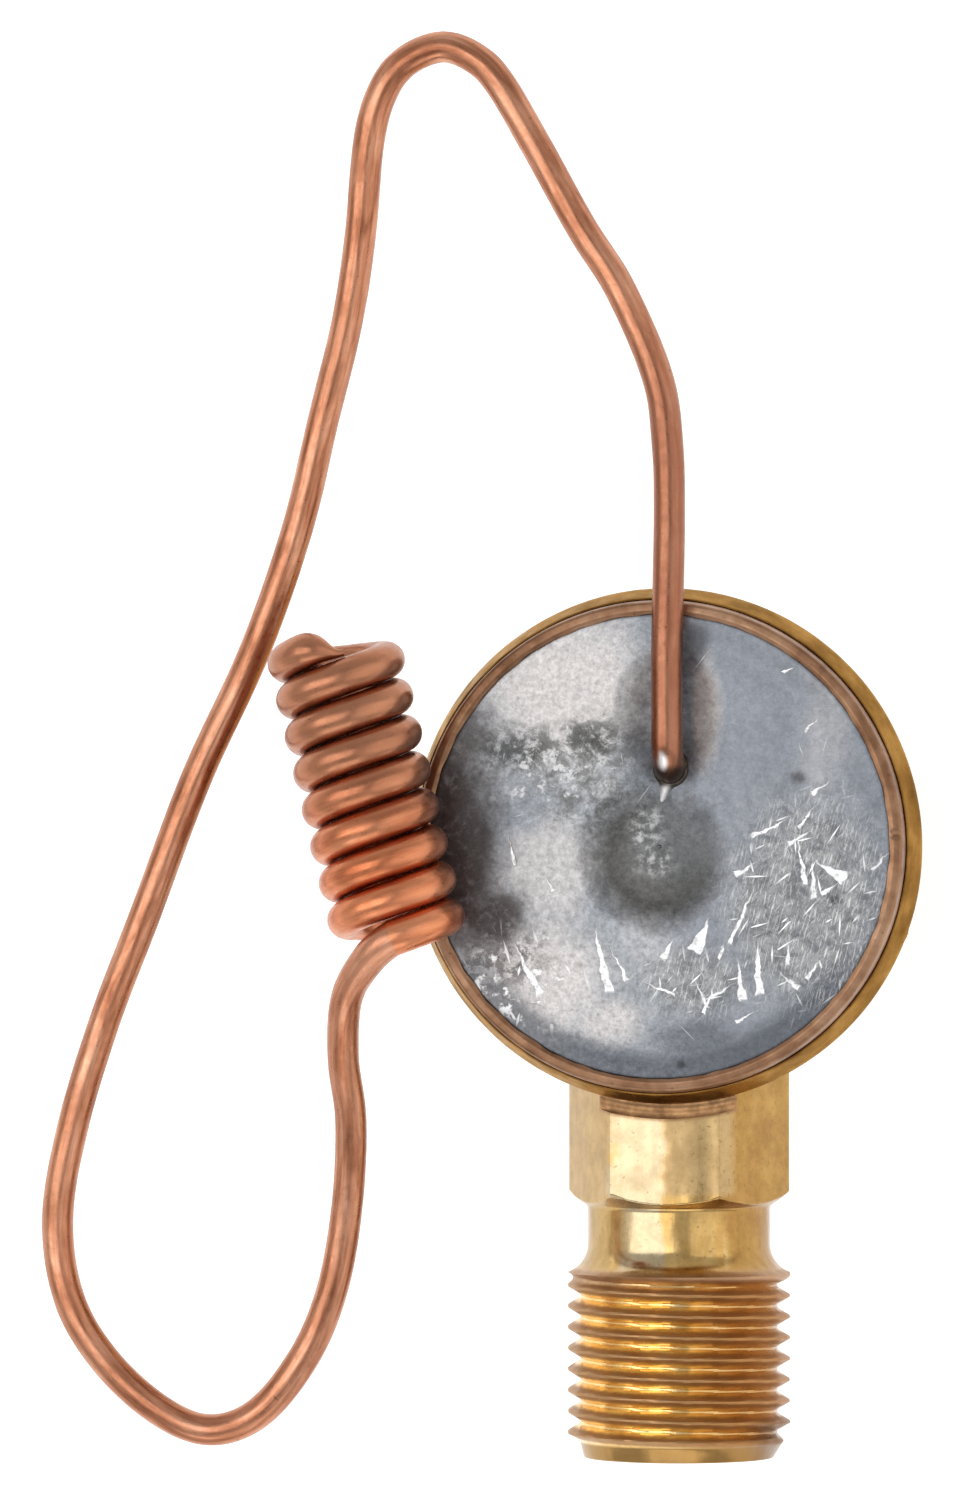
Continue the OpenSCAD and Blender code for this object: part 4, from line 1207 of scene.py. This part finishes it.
# ---------------------------------------------------------------- inner pieces
def make_spring(material):
    """The superheat spring, with its end turns closed."""
    wire_r, mean_r, turns, low, high = 0.5, 4.6, 4.5, 7.13, 13.45
    end = 0.75 / turns
    dead = 1.05 * 2 * wire_r * 0.75

    def rise(t):
        if t < end:
            return dead * t / end
        if t > 1 - end:
            return high - low - dead * (1 - t) / end
        return dead + (high - low - 2 * dead) * (t - end) / (1 - 2 * end)

    count = int(turns * 48)
    line = [Vector((mean_r * math.cos(TAU * turns * i / count), mean_r * math.sin(TAU * turns * i / count),
                    low + rise(i / count))) for i in range(count + 1)]
    spring = sweep("superheat_spring_visual", line, lambda share, length, angle: wire_r - 0.01, material, 16)
    show(spring, "valve_train", "spring_steel", "superheat_spring", angle=60)
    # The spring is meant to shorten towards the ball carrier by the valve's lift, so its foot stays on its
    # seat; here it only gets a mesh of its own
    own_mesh(spring)


def dress_nodes(table):
    """Gives each CAD node that still shows its own procedural material."""
    for node, material in table.items():
        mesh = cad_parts[node].data
        mesh.materials.clear()
        mesh.materials.append(material)


# ---------------------------------------------------------------- build
make_camera()
make_studio()

steel = plain_metal("steel_machined", (0.66, 0.67, 0.69))
stainless = plain_metal("stainless_bright", (0.76, 0.77, 0.79), (0.12, 0.24))
inner_brass = turned_metal("inner_brass", (0.50, 0.32, 0.11), (0.74, 0.52, 0.21), (0.86, 0.66, 0.34))
cup_brass = turned_metal("cup_brass", (0.095, 0.038, 0.009), (0.20, 0.095, 0.024), (0.34, 0.185, 0.056),
                         (0.24, 0.42), 0.5, 0.5, edge=(1.0, 0.80, 0.55))
braze = turned_metal("braze_copper", (0.15, 0.072, 0.038), (0.27, 0.145, 0.082), (0.39, 0.235, 0.145),
                     (0.30, 0.5), 0.4, 0.5)
capillary_copper = copper_tube("capillary_copper", (0.25, 0.09, 0.045), (0.46, 0.195, 0.108),
                               (0.64, 0.33, 0.21))
coil_copper = copper_tube("coil_copper", (0.35, 0.092, 0.038), (0.57, 0.195, 0.088), (0.68, 0.28, 0.145),
                          (-3, 8, (0.33, 0.155, 0.09)))

make_body()
make_lower_cup(cup_brass)
make_crimp_ring(braze)
make_top_cap(tinned_cap())
make_solder(solder_with_painted_light())
make_capillary(capillary_copper)
make_coil(coil_copper)
make_spring(plain_metal("spring_steel", (0.45, 0.46, 0.48), (0.25, 0.4)))
strainer = plain_metal("strainer_steel", (0.62, 0.62, 0.60), (0.3, 0.5))
bronze = turned_metal("spring_bronze", (0.45, 0.27, 0.10), (0.66, 0.44, 0.19), (0.78, 0.57, 0.30))
gasket = turned_metal("gasket_copper", (0.40, 0.17, 0.08), (0.62, 0.32, 0.18), (0.74, 0.44, 0.29))
dress_nodes({
    "seat_insert": steel, "seal_washer": steel, "push_rod_left": steel, "push_rod_right": steel,
    "spring_seat": steel, "diaphragm": stainless, "damper_clip": stainless, "valve_ball": stainless,
    "inlet_strainer": strainer, "strainer_ring": bronze, "head_gasket": gasket,
    "push_rod_seals": seal_rubber(), "buffer_plate": inner_brass, "ball_carrier": inner_brass,
    "adjusting_nut": inner_brass,
})
